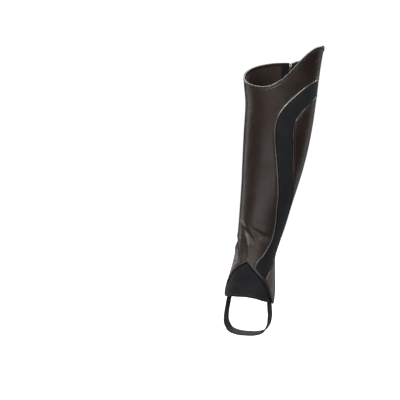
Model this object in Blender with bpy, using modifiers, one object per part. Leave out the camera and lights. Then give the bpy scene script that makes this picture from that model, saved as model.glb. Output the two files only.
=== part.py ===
"""Half chap for the left leg: leather panels, a stretch panel, an instep gusset and a strap under the foot.

Metres, +Z up. The front of the leg faces -Y and its outer side +X. The origin is the middle of the leg at
the widest part of the calf. Heights and sizes in the tables are in millimetres, angles in degrees round the
leg: 0 at the front, positive toward the outer side, 180 at the back zip.
"""
import bpy
import bmesh
import numpy as np
from mathutils import Vector

for old in list(bpy.data.objects):
    bpy.data.objects.remove(old, do_unlink=True)

MM = 0.001

# walls
LEATHER = 1.8
STRETCH = 1.6
STRAP_WALL = 2.0
TAPE_WALL = 1.0
GAP = 0.3

# round pieces
BINDING_RADIUS = 1.3
PIPING_RADIUS = 1.15
PIPING_SINK = 0.35

# zip at the back
ZIP_EDGE = 5.0
TAPE_WIDTH = 12.0
CHAIN_WIDTH = 4.8
CHAIN_WALL = 2.4
SLIDER = (8.0, 11.0, 2.4)
PULL = (6.0, 20.0, 1.4)
PIN_RADIUS = 0.8
EYE_HOLE = 1.15
EYE_RADIUS = 2.1

# gusset behind the arch's edge, and its bulge below it
GUSSET_SINK = -3.0
GUSSET_BULGE = 2.2

# strap under the foot
STRAP_WIDTH = 29.0
STRAP_CUP = 2.1
STRAP_SINK = -5.2

# cells of the panels
LOWER_ROWS = 24
UPPER_ROWS = 7
FRONT_CELLS = 10
SWEEP_CELLS = 16
INNER_CELLS = 16
BAND_CELLS = 5
GUSSET_CELLS = (20, 5)

# height, middle x, middle y, half width, front depth, back depth
SECTIONS = (
    (-325, -55.0, 17.0, 45.0, 70.0, 50.0),
    (-300, -53.2, 17.0, 44.6, 62.0, 50.0),
    (-278, -50.8, 17.0, 42.8, 53.0, 50.0),
    (-256, -47.8, 17.0, 39.2, 52.0, 50.5),
    (-234, -44.6, 16.6, 36.5, 52.0, 51.0),
    (-201, -37.0, 15.2, 38.2, 50.5, 50.5),
    (-168, -29.5, 13.1, 41.9, 51.0, 51.0),
    (-128, -21.4, 9.9, 46.5, 55.4, 55.4),
    (-82, -12.7, 8.0, 51.9, 61.2, 61.2),
    (-37, -5.6, 5.5, 56.5, 63.5, 63.5),
    (0, 0.0, 0.0, 58.9, 67.3, 67.3),
    (55, 6.4, -6.8, 61.5, 67.0, 67.0),
    (82, 7.0, -9.2, 64.2, 67.0, 67.0),
    (120, 10.5, -13.0, 67.0, 67.0, 67.0),
    (160, 15.5, -17.5, 70.0, 67.0, 67.0),
)

# angle, height of the top edge
TOP_EDGE = (
    (-180, 112), (-150, 111), (-120, 106.5), (-90, 99.5), (-65, 92), (-43, 87), (-21, 85), (-5, 87),
    (8, 94), (20, 105), (32, 121), (42, 134), (52, 144), (64, 150), (78, 152), (89, 151), (104, 145),
    (130, 133), (155, 121), (180, 112),
)

# angle, height of the foot edge: back, inner point, arch, outer point, back
FOOT_EDGE = (
    (-180, -245), (-160, -247), (-143, -252), (-124, -266), (-107, -284), (-93, -301),
    (-84.5, -307.5),
    (-77, -300), (-67, -281), (-57, -263), (-47, -253), (-33, -244), (-17, -236.5),
    (-3, -230.5),
    (7, -236), (19, -245), (33, -256), (45, -266), (56, -280), (69, -297), (82, -312),
    (90, -318.5),
    (98, -311), (110, -295), (124, -274), (141, -257), (160, -249), (180, -245),
)
FOOT_CORNERS = (-84.5, -3, 90)

# angle, height of the curved seam on the inner side, from the arch up
INNER_SEAM = (
    (-19, -237.3), (-36, -219), (-52, -201), (-65, -180), (-76, -161), (-85, -134), (-86, -99), (-80, -72),
    (-76, -46), (-78, -20), (-85, 8), (-97, 42), (-108, 78), (-113, 104.6),
)

# angle, height of the stretch panel's front edge, from the arch up
BAND_FRONT = (
    (22, -247.3), (26, -233), (39, -222), (46.5, -209), (51, -193), (49, -175), (46, -160), (40, -136),
    (34, -104), (26, -75), (19, -48), (13, -20), (10, 0), (9, 19), (12, 35), (19, 49), (31, 63),
    (44, 75), (61, 86), (80, 90.5), (110, 92), (145, 90), (175, 86),
)

# angle, height of its rear edge, from the arch up
BAND_REAR = (
    (52, -274.5), (60, -261), (71, -252), (86, -242), (94, -228), (98, -205), (96, -180), (90, -152),
    (81, -125), (68, -98), (57, -69), (49, -40), (44, -12), (41, 10), (44, 26), (52, 40), (71, 52),
    (91, 60), (120, 62), (150, 60), (175, 56),
)

# angle, height of the gusset's lower edge
GUSSET_HEM = (
    (-82, -303), (-60, -301.5), (-44, -299), (-25, -296), (-6, -294.5), (17, -295.5), (35, -299.5),
    (53, -305.5), (70, -311), (86, -316),
)

# creases of the leather at the ankle: angle, height, direction, half length, half width, depth
CREASES = (
    (-31, -173, -53, 30, 5, 1.7),
    (-17, -175, -42, 25, 5, -2.0),
    (17, -177, -14, 24, 5, -1.6),
    (12, -187, -25, 24, 6, 1.6),
    (-90, -176, -41, 17, 6, -1.6),
    (-98, -188, -15, 22, 5, 1.3),
    (-93, -199, -13, 30, 5, -1.7),
    (-83, -214, -12, 22, 6, 1.4),
    (-38, -212, -60, 8, 6, 1.3),
    (-140, -196, -20, 24, 7, -1.4),
    (128, -192, 14, 18, 7, -1.5),
    (134, -206, 10, 18, 7, 1.3),
)

# strap's middle line below the points: x, y, z
STRAP_LINE = (
    (-94.4, 10.0, -322.0), (-95.0, 6.0, -338.0),
    (-93.0, 1.0, -354.0), (-85.0, -1.0, -366.5), (-71.0, -2.0, -371.5), (-53.0, -2.0, -372.5),
    (-36.0, -1.0, -371.5), (-22.0, 1.0, -366.5), (-14.0, 4.0, -354.0), (-12.4, 8.0, -338.0),
    (-13.4, 13.0, -326.0),
)


def smooth(knots, at):
    """Values of a smooth curve through the knots: the first column is the place, the rest are values."""
    knots = np.asarray(knots, float)
    place, values = knots[:, 0], knots[:, 1:]
    slopes = np.gradient(values, place, axis=0)
    at = np.clip(np.asarray(at, float), place[0], place[-1])
    low = np.clip(np.searchsorted(place, at) - 1, 0, len(place) - 2)
    span = (place[low + 1] - place[low])[..., None]
    t = (at - place[low])[..., None] / span
    return (
        (2 * t**3 - 3 * t**2 + 1) * values[low]
        + (t**3 - 2 * t**2 + t) * span * slopes[low]
        + (3 * t**2 - 2 * t**3) * values[low + 1]
        + (t**3 - t**2) * span * slopes[low + 1]
    )


def along(points, corners=()):
    """A dense smooth line through points, with a real corner where the first column is in corners."""
    points = np.asarray(points, float)
    cuts = [0] + [i for i, p in enumerate(points) if p[0] in corners] + [len(points) - 1]
    line = []
    for first, last in zip(cuts[:-1], cuts[1:]):
        part = points[first:last + 1]
        run = np.concatenate([[0], np.cumsum(np.linalg.norm(np.diff(part, axis=0), axis=1))])
        steps = np.linspace(0, run[-1], 16 * (last - first) + 1)
        dense = smooth(np.column_stack([run, part]), steps)
        line.append(dense if not line else dense[1:])
    return np.vstack(line)


def spaced(line, cells):
    """cells + 1 points evenly along a dense line."""
    run = np.concatenate([[0], np.cumsum(np.linalg.norm(np.diff(line, axis=0), axis=1))])
    at = np.linspace(0, run[-1], cells + 1)
    return np.column_stack([np.interp(at, run, line[:, k]) for k in range(line.shape[1])])


def between(line, start, end):
    """The stretch of a dense line whose angles run from start to end."""
    keep = line[(line[:, 0] > start + 0.4) & (line[:, 0] < end - 0.4)]
    first = [start, np.interp(start, line[:, 0], line[:, 1])]
    last = [end, np.interp(end, line[:, 0], line[:, 1])]
    return np.vstack([first, keep, last])


def bare(angle, height):
    """Points of the leg's outer surface without creases, in millimetres."""
    angle = np.radians(angle)
    cx, cy, half, front, back = np.moveaxis(smooth(SECTIONS, height), -1, 0)
    deep = np.where(np.cos(angle) > 0, front, back)
    return np.stack([cx + half * np.sin(angle), cy - deep * np.cos(angle), height + 0 * angle], -1)


def crease_height(angle, height):
    """How far the creases move the leather out or in, in millimetres."""
    total = 0 * angle
    for middle, level, turn, length, width, depth in CREASES:
        c, s = np.cos(np.radians(turn)), np.sin(np.radians(turn))
        across, up = (angle - middle) * 0.85, height - level
        lengthwise, sideways = (c * across + s * up) / length, (c * up - s * across) / width
        total = total + depth * np.exp(-(lengthwise**4) - sideways**2)
    return total


def leg(angle, height, out=0.0, creased=True):
    """Points of the leg's outer surface moved out along its normal, in millimetres."""
    angle, height = np.broadcast_arrays(np.asarray(angle, float), np.asarray(height, float))
    round_it = bare(angle + 0.5, height) - bare(angle - 0.5, height)
    upward = bare(angle, height + 1.0) - bare(angle, height - 1.0)
    normal = np.cross(round_it, upward)
    normal /= np.linalg.norm(normal, axis=-1, keepdims=True)
    if creased:
        out = out + crease_height(angle, height)
    return bare(angle, height) + normal * np.asarray(out + 0 * angle)[..., None]


def millimetres_per_degree(height):
    half, front, back = np.moveaxis(smooth(SECTIONS, height), -1, 0)[2:]
    return np.radians((half + (front + back) / 2) / 2)


def inset(lines, distances):
    """Lines of (angle, height) that meet end to end in a loop, each moved inward by its distance in millimetres."""
    counts = [len(line) - 1 for line in lines]
    loop = np.vstack([line[:-1] for line in lines])
    distances = np.repeat(distances, counts)
    scale = millimetres_per_degree(loop[:, 1])
    following = np.roll(loop, -1, axis=0)
    turning = (loop[:, 0] * following[:, 1] - following[:, 0] * loop[:, 1]).sum()
    inward = 1 if turning > 0 else -1
    moved = loop.copy()
    for i in range(len(loop)):
        before = (loop[i] - loop[i - 1]) * [scale[i], 1]
        after = (following[i] - loop[i]) * [scale[i], 1]
        before /= np.linalg.norm(before)
        after /= np.linalg.norm(after)
        n0, n1 = inward * np.array([-before[1], before[0]]), inward * np.array([-after[1], after[0]])
        if n0 @ n1 > 0.999:
            shift = (n0 + n1) / np.linalg.norm(n0 + n1) * (distances[i - 1] + distances[i]) / 2
        else:
            shift = np.linalg.solve(np.array([n0, n1]), [distances[i - 1], distances[i]])
        moved[i] = loop[i] + shift / [scale[i], 1]
    moved = np.vstack([moved, moved[:1]])
    starts = np.concatenate([[0], np.cumsum(counts)])
    return [moved[a:b + 1] for a, b in zip(starts[:-1], starts[1:])]


def respaced(line, bend):
    """A line with the same number of points, evenly spaced up to its bend and after it."""
    first, last = line[0, 0], line[-1, 0]
    inside = [i for i in range(1, len(line) - 1) if first + 0.2 < line[i, 0] < last - 0.2]
    head = [line[0]] + [line[i] for i in inside if i <= bend]
    tail = [line[i] for i in inside if i >= bend] + [line[-1]]
    return np.vstack([spaced(np.array(head), bend)[:-1], spaced(np.array(tail), len(line) - 1 - bend)])


def filled(bottom, right, top, left, power=3):
    """A grid of (angle, height) between four lines. Its rows bow like the bottom and top lines near them."""
    u = np.linspace(0, 1, len(bottom))[None, :, None]
    v = np.linspace(0, 1, len(left))[:, None, None]
    low_bow = bottom[None] - (1 - u) * bottom[0] - u * bottom[-1]
    high_bow = top[None] - (1 - u) * top[0] - u * top[-1]
    return (1 - u) * left[:, None] + u * right[:, None] + (1 - v) ** power * low_bow + v**power * high_bow


collection = bpy.data.collections.new("half_chap")
bpy.context.scene.collection.children.link(collection)
cutters = bpy.data.collections.new("half_chap_cutters")
bpy.context.scene.collection.children.link(cutters)


def material(name, colour, rough, metal=0.0):
    made = bpy.data.materials.new(name)
    made.use_nodes = True
    shader = made.node_tree.nodes["Principled BSDF"]
    shader.inputs["Base Color"].default_value = (*colour, 1)
    shader.inputs["Roughness"].default_value = rough
    shader.inputs["Metallic"].default_value = metal
    return made


BROWN = (0.060, 0.042, 0.038)
BLACK = (0.018, 0.019, 0.022)
PIPING_BROWN = (0.085, 0.062, 0.055)
NICKEL = (0.20, 0.19, 0.18)


def add(name, mesh, colour, rough, metal=0.0):
    made = bpy.data.objects.new(name, mesh)
    collection.objects.link(made)
    mesh.materials.append(material(name, colour, rough, metal))
    return made


def apply_all(piece):
    """Replaces a piece's mesh by its result under its modifiers."""
    graph = bpy.context.evaluated_depsgraph_get()
    result = bpy.data.meshes.new_from_object(piece.evaluated_get(graph))
    piece.modifiers.clear()
    piece.data = result
    return piece


def wall(name, grids, thickness, colour, rough):
    """A sheet through grids of outer points that share their joining lines, thickened inward."""
    made = bmesh.new()
    for points in grids:
        corners = [[made.verts.new(Vector(p) * MM) for p in row] for row in points]
        for low, high in zip(corners[:-1], corners[1:]):
            for j in range(len(low) - 1):
                made.faces.new((low[j], low[j + 1], high[j + 1], high[j]))
    bmesh.ops.remove_doubles(made, verts=made.verts, dist=0.00001)
    mesh = bpy.data.meshes.new(name)
    made.to_mesh(mesh)
    made.free()
    piece = add(name, mesh, colour, rough)
    solid = piece.modifiers.new("thickness", "SOLIDIFY")
    solid.thickness = thickness * MM
    solid.offset = -1
    return apply_all(piece)


def tube(name, points, radius, colour, rough):
    """A round cord through points, closed at both ends."""
    curve = bpy.data.curves.new(name, "CURVE")
    curve.dimensions = "3D"
    curve.bevel_depth = radius * MM
    curve.bevel_resolution = 2
    curve.use_fill_caps = True
    line = curve.splines.new("POLY")
    line.points.add(len(points) - 1)
    for at, point in zip(line.points, points * MM):
        at.co = (*point, 1)
    source = bpy.data.objects.new(name + "_line", curve)
    collection.objects.link(source)
    graph = bpy.context.evaluated_depsgraph_get()
    mesh = bpy.data.meshes.new_from_object(source.evaluated_get(graph))
    bpy.data.objects.remove(source, do_unlink=True)
    made = bmesh.new()
    made.from_mesh(mesh)
    bmesh.ops.remove_doubles(made, verts=made.verts, dist=0.00002)
    bmesh.ops.recalc_face_normals(made, faces=made.faces)
    made.to_mesh(mesh)
    made.free()
    mesh.name = name
    mesh.materials.clear()
    return add(name, mesh, colour, rough)


# lines that the panels share
top_line, foot_line = along(TOP_EDGE), along(FOOT_EDGE, FOOT_CORNERS)
seam_line, front_line, rear_line = along(INNER_SEAM), along(BAND_FRONT), along(BAND_REAR)
zip_angle = 180 - ZIP_EDGE / millimetres_per_degree(0.0)


def turn_of(line, height):
    """Index on a dense line, from its foot, where it first reaches a height."""
    return int(np.argmax(line[:, 1] >= height))


def up_then_back(line, height, rows, cells):
    """Points up a line to a height, and then along the rest of it."""
    turn = turn_of(line, height)
    return np.vstack([spaced(line[:turn + 1], rows)[:-1], spaced(line[turn:], cells)])


seam = up_then_back(seam_line, 12, LOWER_ROWS, UPPER_ROWS)
front_edge = up_then_back(front_line, 12, LOWER_ROWS, SWEEP_CELLS)
rear_edge = up_then_back(rear_line, 0, LOWER_ROWS, SWEEP_CELLS)
front_edge[-1, 0] = rear_edge[-1, 0] = zip_angle
seam[0, 1] = np.interp(seam[0, 0], foot_line[:, 0], foot_line[:, 1])
seam[-1, 1] = np.interp(seam[-1, 0], top_line[:, 0], top_line[:, 1])
for edge in (front_edge, rear_edge):
    edge[0, 1] = np.interp(edge[0, 0], foot_line[:, 0], foot_line[:, 1])


def foot_run(start, end, cells, corner=None):
    """Points along the foot edge, with one on the corner."""
    if corner is None:
        return spaced(between(foot_line, start, end), cells)
    first = spaced(between(foot_line, start, corner), cells // 2)
    return np.vstack([first[:-1], spaced(between(foot_line, corner, end), cells - cells // 2)])


def upright(angle, low, high, cells):
    return np.column_stack([np.full(cells + 1, angle), np.linspace(low, high, cells + 1)])


top_at = np.interp(zip_angle, top_line[:, 0], top_line[:, 1])
foot_at = np.interp(zip_angle, foot_line[:, 0], foot_line[:, 1])
inner_top_at = np.interp(-zip_angle, top_line[:, 0], top_line[:, 1])
inner_foot_at = np.interp(-zip_angle, foot_line[:, 0], foot_line[:, 1])

foot_front = foot_run(seam[0, 0], front_edge[0, 0], FRONT_CELLS, -3)
foot_inner = foot_run(-zip_angle, seam[0, 0], INNER_CELLS, -84.5)
foot_band = foot_run(front_edge[0, 0], rear_edge[0, 0], BAND_CELLS)
foot_rear = foot_run(rear_edge[0, 0], zip_angle, SWEEP_CELLS, 90)
top_front = spaced(between(top_line, seam[-1, 0], zip_angle), FRONT_CELLS + SWEEP_CELLS)
top_inner = spaced(between(top_line, -zip_angle, seam[-1, 0]), INNER_CELLS)

bound = 2 * BINDING_RADIUS + GAP + 0.25
piped = PIPING_RADIUS + GAP + 0.15
plain = GAP / 2 + 0.1

# front panel: a lower part beside the stretch panel and an upper part over it
low, side, sweep, zip_side, top, high_seam, low_seam = inset(
    [
        foot_front,
        front_edge[:LOWER_ROWS + 1],
        front_edge[LOWER_ROWS:],
        upright(zip_angle, front_edge[-1, 1], top_at, UPPER_ROWS),
        top_front[::-1],
        seam[LOWER_ROWS:][::-1],
        seam[:LOWER_ROWS + 1][::-1],
    ],
    [bound, piped, piped, plain, bound, plain, plain],
)
across = np.linspace(low_seam[0], side[-1], FRONT_CELLS + 1)
front_grids = [
    filled(respaced(low, FRONT_CELLS // 2), side, across, low_seam[::-1]),
    filled(np.vstack([across, sweep[1:]]), zip_side, top[::-1], high_seam[::-1], 1),
]

low, side, top, zip_side = inset(
    [
        foot_inner,
        seam,
        top_inner[::-1],
        upright(-zip_angle, inner_foot_at, inner_top_at, LOWER_ROWS + UPPER_ROWS)[::-1],
    ],
    [bound, plain, bound, plain],
)
inner_grid = filled(low, side, top[::-1], zip_side[::-1])

low, zip_side, sweep, side = inset(
    [
        foot_rear,
        upright(zip_angle, foot_at, rear_edge[-1, 1], LOWER_ROWS),
        rear_edge[LOWER_ROWS:][::-1],
        rear_edge[:LOWER_ROWS + 1][::-1],
    ],
    [bound, plain, piped, piped],
)
rear_grid = filled(low, zip_side, sweep[::-1], side[::-1])

low, rear_side, end, front_side = inset(
    [foot_band, rear_edge, np.linspace(rear_edge[-1], front_edge[-1], BAND_CELLS + 1), front_edge[::-1]],
    [bound, piped, plain, piped],
)
band_grid = filled(low, rear_side, end[::-1], front_side[::-1])


def on_leg(grid, out=0.0):
    return leg(grid[..., 0], grid[..., 1], out)


wall("front_panel", [on_leg(grid) for grid in front_grids], LEATHER, BROWN, 0.45)
wall("inner_panel", [on_leg(inner_grid)], LEATHER, BROWN, 0.45)
wall("outer_rear_panel", [on_leg(rear_grid)], LEATHER, BROWN, 0.45)
wall("stretch_panel", [on_leg(band_grid, -0.1)], STRETCH, BLACK, 0.85)

# gusset: under the arch's edge at its top, free at its hem
gusset_angles = np.linspace(GUSSET_HEM[0][0], GUSSET_HEM[-1][0], GUSSET_CELLS[0] + 1)
gusset_low = smooth(GUSSET_HEM, gusset_angles)[:, 0]
gusset_high = np.interp(gusset_angles, foot_line[:, 0], foot_line[:, 1]) + bound + 2.8
gusset_high = np.maximum(gusset_high, gusset_low + 5.0)
rise = np.linspace(0, 1, GUSSET_CELLS[1] + 1)[:, None]
gusset_heights = gusset_low + (gusset_high - gusset_low) * rise
gusset_edge = np.interp(gusset_angles, foot_line[:, 0], foot_line[:, 1])
below = np.clip((gusset_edge - gusset_heights - 2) / 16, 0, 1)
gusset_points = leg(
    np.broadcast_to(gusset_angles, gusset_heights.shape),
    gusset_heights,
    GUSSET_SINK + GUSSET_BULGE * below**2 * (3 - 2 * below),
    creased=False,
)
wall("instep_gusset", [gusset_points], STRETCH, BLACK, 0.85)

# strap: cupped where it lies inside the points, flat under the foot
inner_end = [leg(-87.0, z, STRAP_SINK, creased=False) for z in (-293, -306)]
outer_end = [leg(91.0, z, STRAP_SINK, creased=False) for z in (-313, -300)]
strap = along([(i, *p) for i, p in enumerate([*inner_end, *STRAP_LINE, *outer_end])])[:, 1:]
strap = spaced(strap, 26)
ahead = np.gradient(strap, axis=0)
ahead /= np.linalg.norm(ahead, axis=1, keepdims=True)
outward = np.cross([0, 1, 0], ahead)
outward /= np.linalg.norm(outward, axis=1, keepdims=True)
sideways = np.cross(ahead, outward)
sides = np.linspace(-1, 1, 5)
cup = STRAP_CUP * np.clip((strap[:, 2] + 340) / 30, 0, 1)
strap_points = (
    strap[:, None]
    + sideways[:, None] * (sides * STRAP_WIDTH / 2)[None, :, None]
    - outward[:, None] * (cup[:, None] * sides**2)[..., None]
)
wall("foot_strap", [strap_points], STRAP_WALL, BLACK, 0.85)


def edge_line(edge, shift, out):
    """Points beside an open edge of (angle, height), moved into the cloth by shift and out by out."""
    edge = np.asarray(edge, float)
    scale = millimetres_per_degree(edge[:, 1])
    moved = edge.copy()
    for i in range(len(edge)):
        before = (edge[i] - edge[max(i - 1, 0)]) * [scale[i], 1]
        after = (edge[min(i + 1, len(edge) - 1)] - edge[i]) * [scale[i], 1]
        before = before if np.linalg.norm(before) else after
        after = after if np.linalg.norm(after) else before
        before, after = before / np.linalg.norm(before), after / np.linalg.norm(after)
        n0, n1 = np.array([-before[1], before[0]]), np.array([-after[1], after[0]])
        middle = (n0 + n1) / np.linalg.norm(n0 + n1)
        moved[i] = edge[i] + middle * shift / (middle @ n0) / [scale[i], 1]
    return leg(moved[:, 0], moved[:, 1], out)


top_edge = np.vstack([top_inner, top_front[1:]])
foot_edge = np.vstack([foot_inner, foot_front[1:], foot_band[1:], foot_rear[1:]])
middle_of_leather = -LEATHER / 2
tube("top_binding", edge_line(top_edge, -BINDING_RADIUS, middle_of_leather), BINDING_RADIUS, PIPING_BROWN, 0.5)
tube("foot_binding", edge_line(foot_edge, BINDING_RADIUS, middle_of_leather), BINDING_RADIUS, PIPING_BROWN, 0.5)

# pipings stop short of the bindings
clear = BINDING_RADIUS + PIPING_RADIUS + GAP


def piping(name, edge):
    line = leg(edge[:, 0], edge[:, 1], -PIPING_SINK)
    step = np.linalg.norm(line[1] - line[0])
    line[0] = line[0] + (line[1] - line[0]) * (BINDING_RADIUS + clear + 1.2) / step
    tube(name, line, PIPING_RADIUS, PIPING_BROWN, 0.5)


piping("front_piping", front_edge)
piping("rear_piping", rear_edge)

# zip: tapes behind the panels' edges, the closed chain between them
zip_heights = np.linspace(foot_at + 3.0, top_at - 4.0, LOWER_ROWS + UPPER_ROWS + 1)
degrees = 1 / millimetres_per_degree(zip_heights)


def strip(name, near, far, out, thickness, colour, rough, cells):
    """A strip down the back, from near to far millimetres beside the zip's middle."""
    across = np.linspace(near, far, cells + 1)[None, :]
    angles = 180 + across * degrees[:, None]
    heights = np.broadcast_to(zip_heights[:, None], angles.shape)
    return wall(name, [leg(angles, heights, out, creased=False)], thickness, colour, rough)


tape_out = -(LEATHER + GAP + 1.3)
strip("zip_tape_outer", -TAPE_WIDTH - 3.1, -3.1, tape_out, TAPE_WALL, BLACK, 0.85, 2)
strip("zip_tape_inner", 3.1, TAPE_WIDTH + 3.1, tape_out, TAPE_WALL, BLACK, 0.85, 2)
chain_out = -0.9
strip("zip_chain", -CHAIN_WIDTH / 2, CHAIN_WIDTH / 2, chain_out, CHAIN_WALL, NICKEL, 0.35, 1)

# slider at the top of the zip, pull tab on its pin
slider_height = float(top_at) - 14.0
base = leg(180.0, slider_height, 0.0, creased=False)
up = leg(180.0, slider_height + 8, 0.0, creased=False) - leg(180.0, slider_height - 8, 0.0, creased=False)
up /= np.linalg.norm(up)
right = np.array([-1.0, 0.0, 0.0])
right -= up * (right @ up)
right /= np.linalg.norm(right)
out = np.cross(right, up)
if out[1] < 0:
    out = -out


def placed(x, y, z):
    """A point x beside, y up and z out from the slider's place, in metres."""
    return Vector((base + right * x + up * y + out * z) * MM)


def block(name, low, high):
    """A box between two corners in the slider's own directions."""
    corners = [(x, y, z) for x in (low[0], high[0]) for y in (low[1], high[1]) for z in (low[2], high[2])]
    mesh = bpy.data.meshes.new(name)
    mesh.from_pydata(
        [placed(*c) for c in corners],
        [],
        [(0, 1, 3, 2), (4, 6, 7, 5), (0, 4, 5, 1), (2, 3, 7, 6), (0, 2, 6, 4), (1, 5, 7, 3)],
    )
    made = bmesh.new()
    made.from_mesh(mesh)
    bmesh.ops.recalc_face_normals(made, faces=made.faces)
    made.to_mesh(mesh)
    made.free()
    return mesh


def rod(name, radius, half, y, z, sides=16):
    """A round bar across the zip, with its middle y up and z out."""
    mesh = bpy.data.meshes.new(name)
    ring = [2 * np.pi * i / sides for i in range(sides)]
    points = [
        placed(x, y + radius * np.cos(a), z + radius * np.sin(a)) for x in (-half, half) for a in ring
    ]
    faces = [(i, (i + 1) % sides, sides + (i + 1) % sides, sides + i) for i in range(sides)]
    faces += [tuple(range(sides)), tuple(range(sides, 2 * sides))]
    mesh.from_pydata(points, [], faces)
    made = bmesh.new()
    made.from_mesh(mesh)
    bmesh.ops.recalc_face_normals(made, faces=made.faces)
    made.to_mesh(mesh)
    made.free()
    return mesh


def combine(piece, mesh, operation):
    cutter = bpy.data.objects.new(mesh.name, mesh)
    cutters.objects.link(cutter)
    cutter.hide_render = True
    cutter.display_type = "WIRE"
    change = piece.modifiers.new(mesh.name, "BOOLEAN")
    change.operation = operation
    change.solver = "EXACT"
    change.object = cutter
    apply_all(piece)
    cutter.hide_viewport = True


slider_low = chain_out + GAP
slider_high = slider_low + SLIDER[2]
pin_out = slider_high + EYE_RADIUS + GAP
slider = add(
    "zip_slider",
    block("zip_slider", (-SLIDER[0] / 2, -SLIDER[1] / 2, slider_low), (SLIDER[0] / 2, SLIDER[1] / 2, slider_high)),
    NICKEL,
    0.3,
    1.0,
)
lug_low, lug_high = PULL[0] / 2 + GAP, PULL[0] / 2 + GAP + 1.2
for side, name in ((1, "lug_right"), (-1, "lug_left")):
    low, high = sorted((side * lug_low, side * lug_high))
    combine(slider, block(name, (low, -1.6, slider_high - 0.5), (high, 1.6, pin_out + 1.5)), "UNION")
combine(slider, rod("pin", PIN_RADIUS, lug_high - 0.2, 0.0, pin_out), "UNION")

pull = add("zip_pull", rod("zip_pull", EYE_RADIUS, PULL[0] / 2, 0.0, pin_out), NICKEL, 0.3, 1.0)
combine(
    pull,
    block(
        "tongue",
        (-PULL[0] / 2, -PULL[1], pin_out - PULL[2] / 2),
        (PULL[0] / 2, -1.0, pin_out + PULL[2] / 2),
    ),
    "UNION",
)
combine(pull, rod("eye", EYE_HOLE, PULL[0], 0.0, pin_out), "DIFFERENCE")

for piece in collection.objects:
    made = bmesh.new()
    made.from_mesh(piece.data)
    bmesh.ops.remove_doubles(made, verts=made.verts, dist=0.00001)
    bmesh.ops.recalc_face_normals(made, faces=made.faces)
    made.to_mesh(piece.data)
    made.free()

print("pin", [round(float(v), 6) for v in placed(0, 0, pin_out)], "axis", right.round(5), "out", out.round(4))
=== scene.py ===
import bpy
import numpy as np
from mathutils import Matrix, Vector


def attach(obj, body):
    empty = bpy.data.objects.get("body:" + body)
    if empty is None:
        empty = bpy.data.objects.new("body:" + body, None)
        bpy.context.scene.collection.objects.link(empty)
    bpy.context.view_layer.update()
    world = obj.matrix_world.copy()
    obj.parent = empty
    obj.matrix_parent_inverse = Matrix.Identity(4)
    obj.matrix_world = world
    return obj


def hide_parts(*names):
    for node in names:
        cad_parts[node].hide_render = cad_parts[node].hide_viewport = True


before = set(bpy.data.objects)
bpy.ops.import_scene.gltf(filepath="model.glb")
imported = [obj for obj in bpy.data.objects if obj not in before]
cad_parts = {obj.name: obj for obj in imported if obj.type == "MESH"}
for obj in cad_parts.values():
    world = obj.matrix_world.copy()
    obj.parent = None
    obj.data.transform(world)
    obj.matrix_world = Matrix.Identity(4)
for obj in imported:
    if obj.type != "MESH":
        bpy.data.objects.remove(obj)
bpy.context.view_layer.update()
mm = 0.001

cameraLook = {
    "turn": 16.0,  # degrees round the leg toward its outer side
    "rise": 11.0,
    "distance": 3.0,
    "metresPerPixel": 0.00175,
    "originPixel": (277.9, 130.0),
    "pixels": 400,
    "sensor": 36.0,
    "farthest": 60.0,
}


def linked(name, data):
    made = bpy.data.objects.new(name, data)
    bpy.context.scene.collection.objects.link(made)
    return made


def direction(turn, rise):
    # away from the object, by azimuth and elevation in degrees
    turn, rise = np.radians([turn, rise])
    return Vector((np.sin(turn) * np.cos(rise), -np.cos(turn) * np.cos(rise), np.sin(rise)))


def makeCamera(look):
    away, right = direction(look["turn"], look["rise"]), direction(look["turn"] + 90, 0)
    above = away.cross(right)
    beside, below = ((at - look["pixels"] / 2) * look["metresPerPixel"] for at in look["originPixel"])
    place = away * look["distance"] - right * beside + above * below
    data = bpy.data.cameras.new("camera")
    data.sensor_width = look["sensor"]
    data.lens = look["sensor"] * look["distance"] / (look["pixels"] * look["metresPerPixel"])
    data.clip_end = look["farthest"]
    made = linked("camera", data)
    made.matrix_world = Matrix.Translation(place) @ Matrix((right, above, away)).transposed().to_4x4()
    bpy.context.scene.camera = made


makeCamera(cameraLook)
print("camera placed")

# heights in millimetres, angles in degrees round the leg: 0 in front, positive toward the outer side
cut = {
    "leather": 1.8,
    "stretch": 1.6,
    "strapWall": 2.0,
    "tapeWall": 0.9,
    "bindingRadius": 1.3,
    "pipingRadius": 1.25,
    "pipingSink": 0.30,
    "zipEdge": 5.0,
    "lowerRows": 24,
    "upperRows": 7,
    "frontCells": 10,
    "sweepCells": 16,
    "innerCells": 16,
    "bandCells": 5,
    "turnFront": 12,  # the heights at which the stretch panel's edges turn back
    "turnRear": 0,
}

# height, middle x, middle y, half width, front depth, back depth
sections = (
    (-325, -55.0, 17.0, 45.0, 70.0, 50.0),
    (-300, -53.2, 17.0, 44.6, 62.0, 50.0),
    (-278, -50.8, 17.0, 42.8, 53.0, 50.0),
    (-256, -47.8, 17.0, 39.2, 52.0, 50.5),
    (-234, -44.6, 16.6, 36.5, 52.0, 51.0),
    (-201, -37.0, 15.2, 38.2, 50.5, 50.5),
    (-168, -29.5, 13.1, 41.9, 51.0, 51.0),
    (-128, -21.4, 9.9, 46.5, 55.4, 55.4),
    (-82, -12.7, 8.0, 51.9, 61.2, 61.2),
    (-37, -5.6, 5.5, 56.5, 63.5, 63.5),
    (0, 0.0, 0.0, 58.9, 67.3, 67.3),
    (55, 6.4, -6.8, 61.5, 67.0, 67.0),
    (82, 7.0, -9.2, 64.2, 67.0, 67.0),
    (120, 10.5, -13.0, 67.0, 67.0, 67.0),
    (160, 15.5, -17.5, 70.0, 67.0, 67.0),
)

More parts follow.
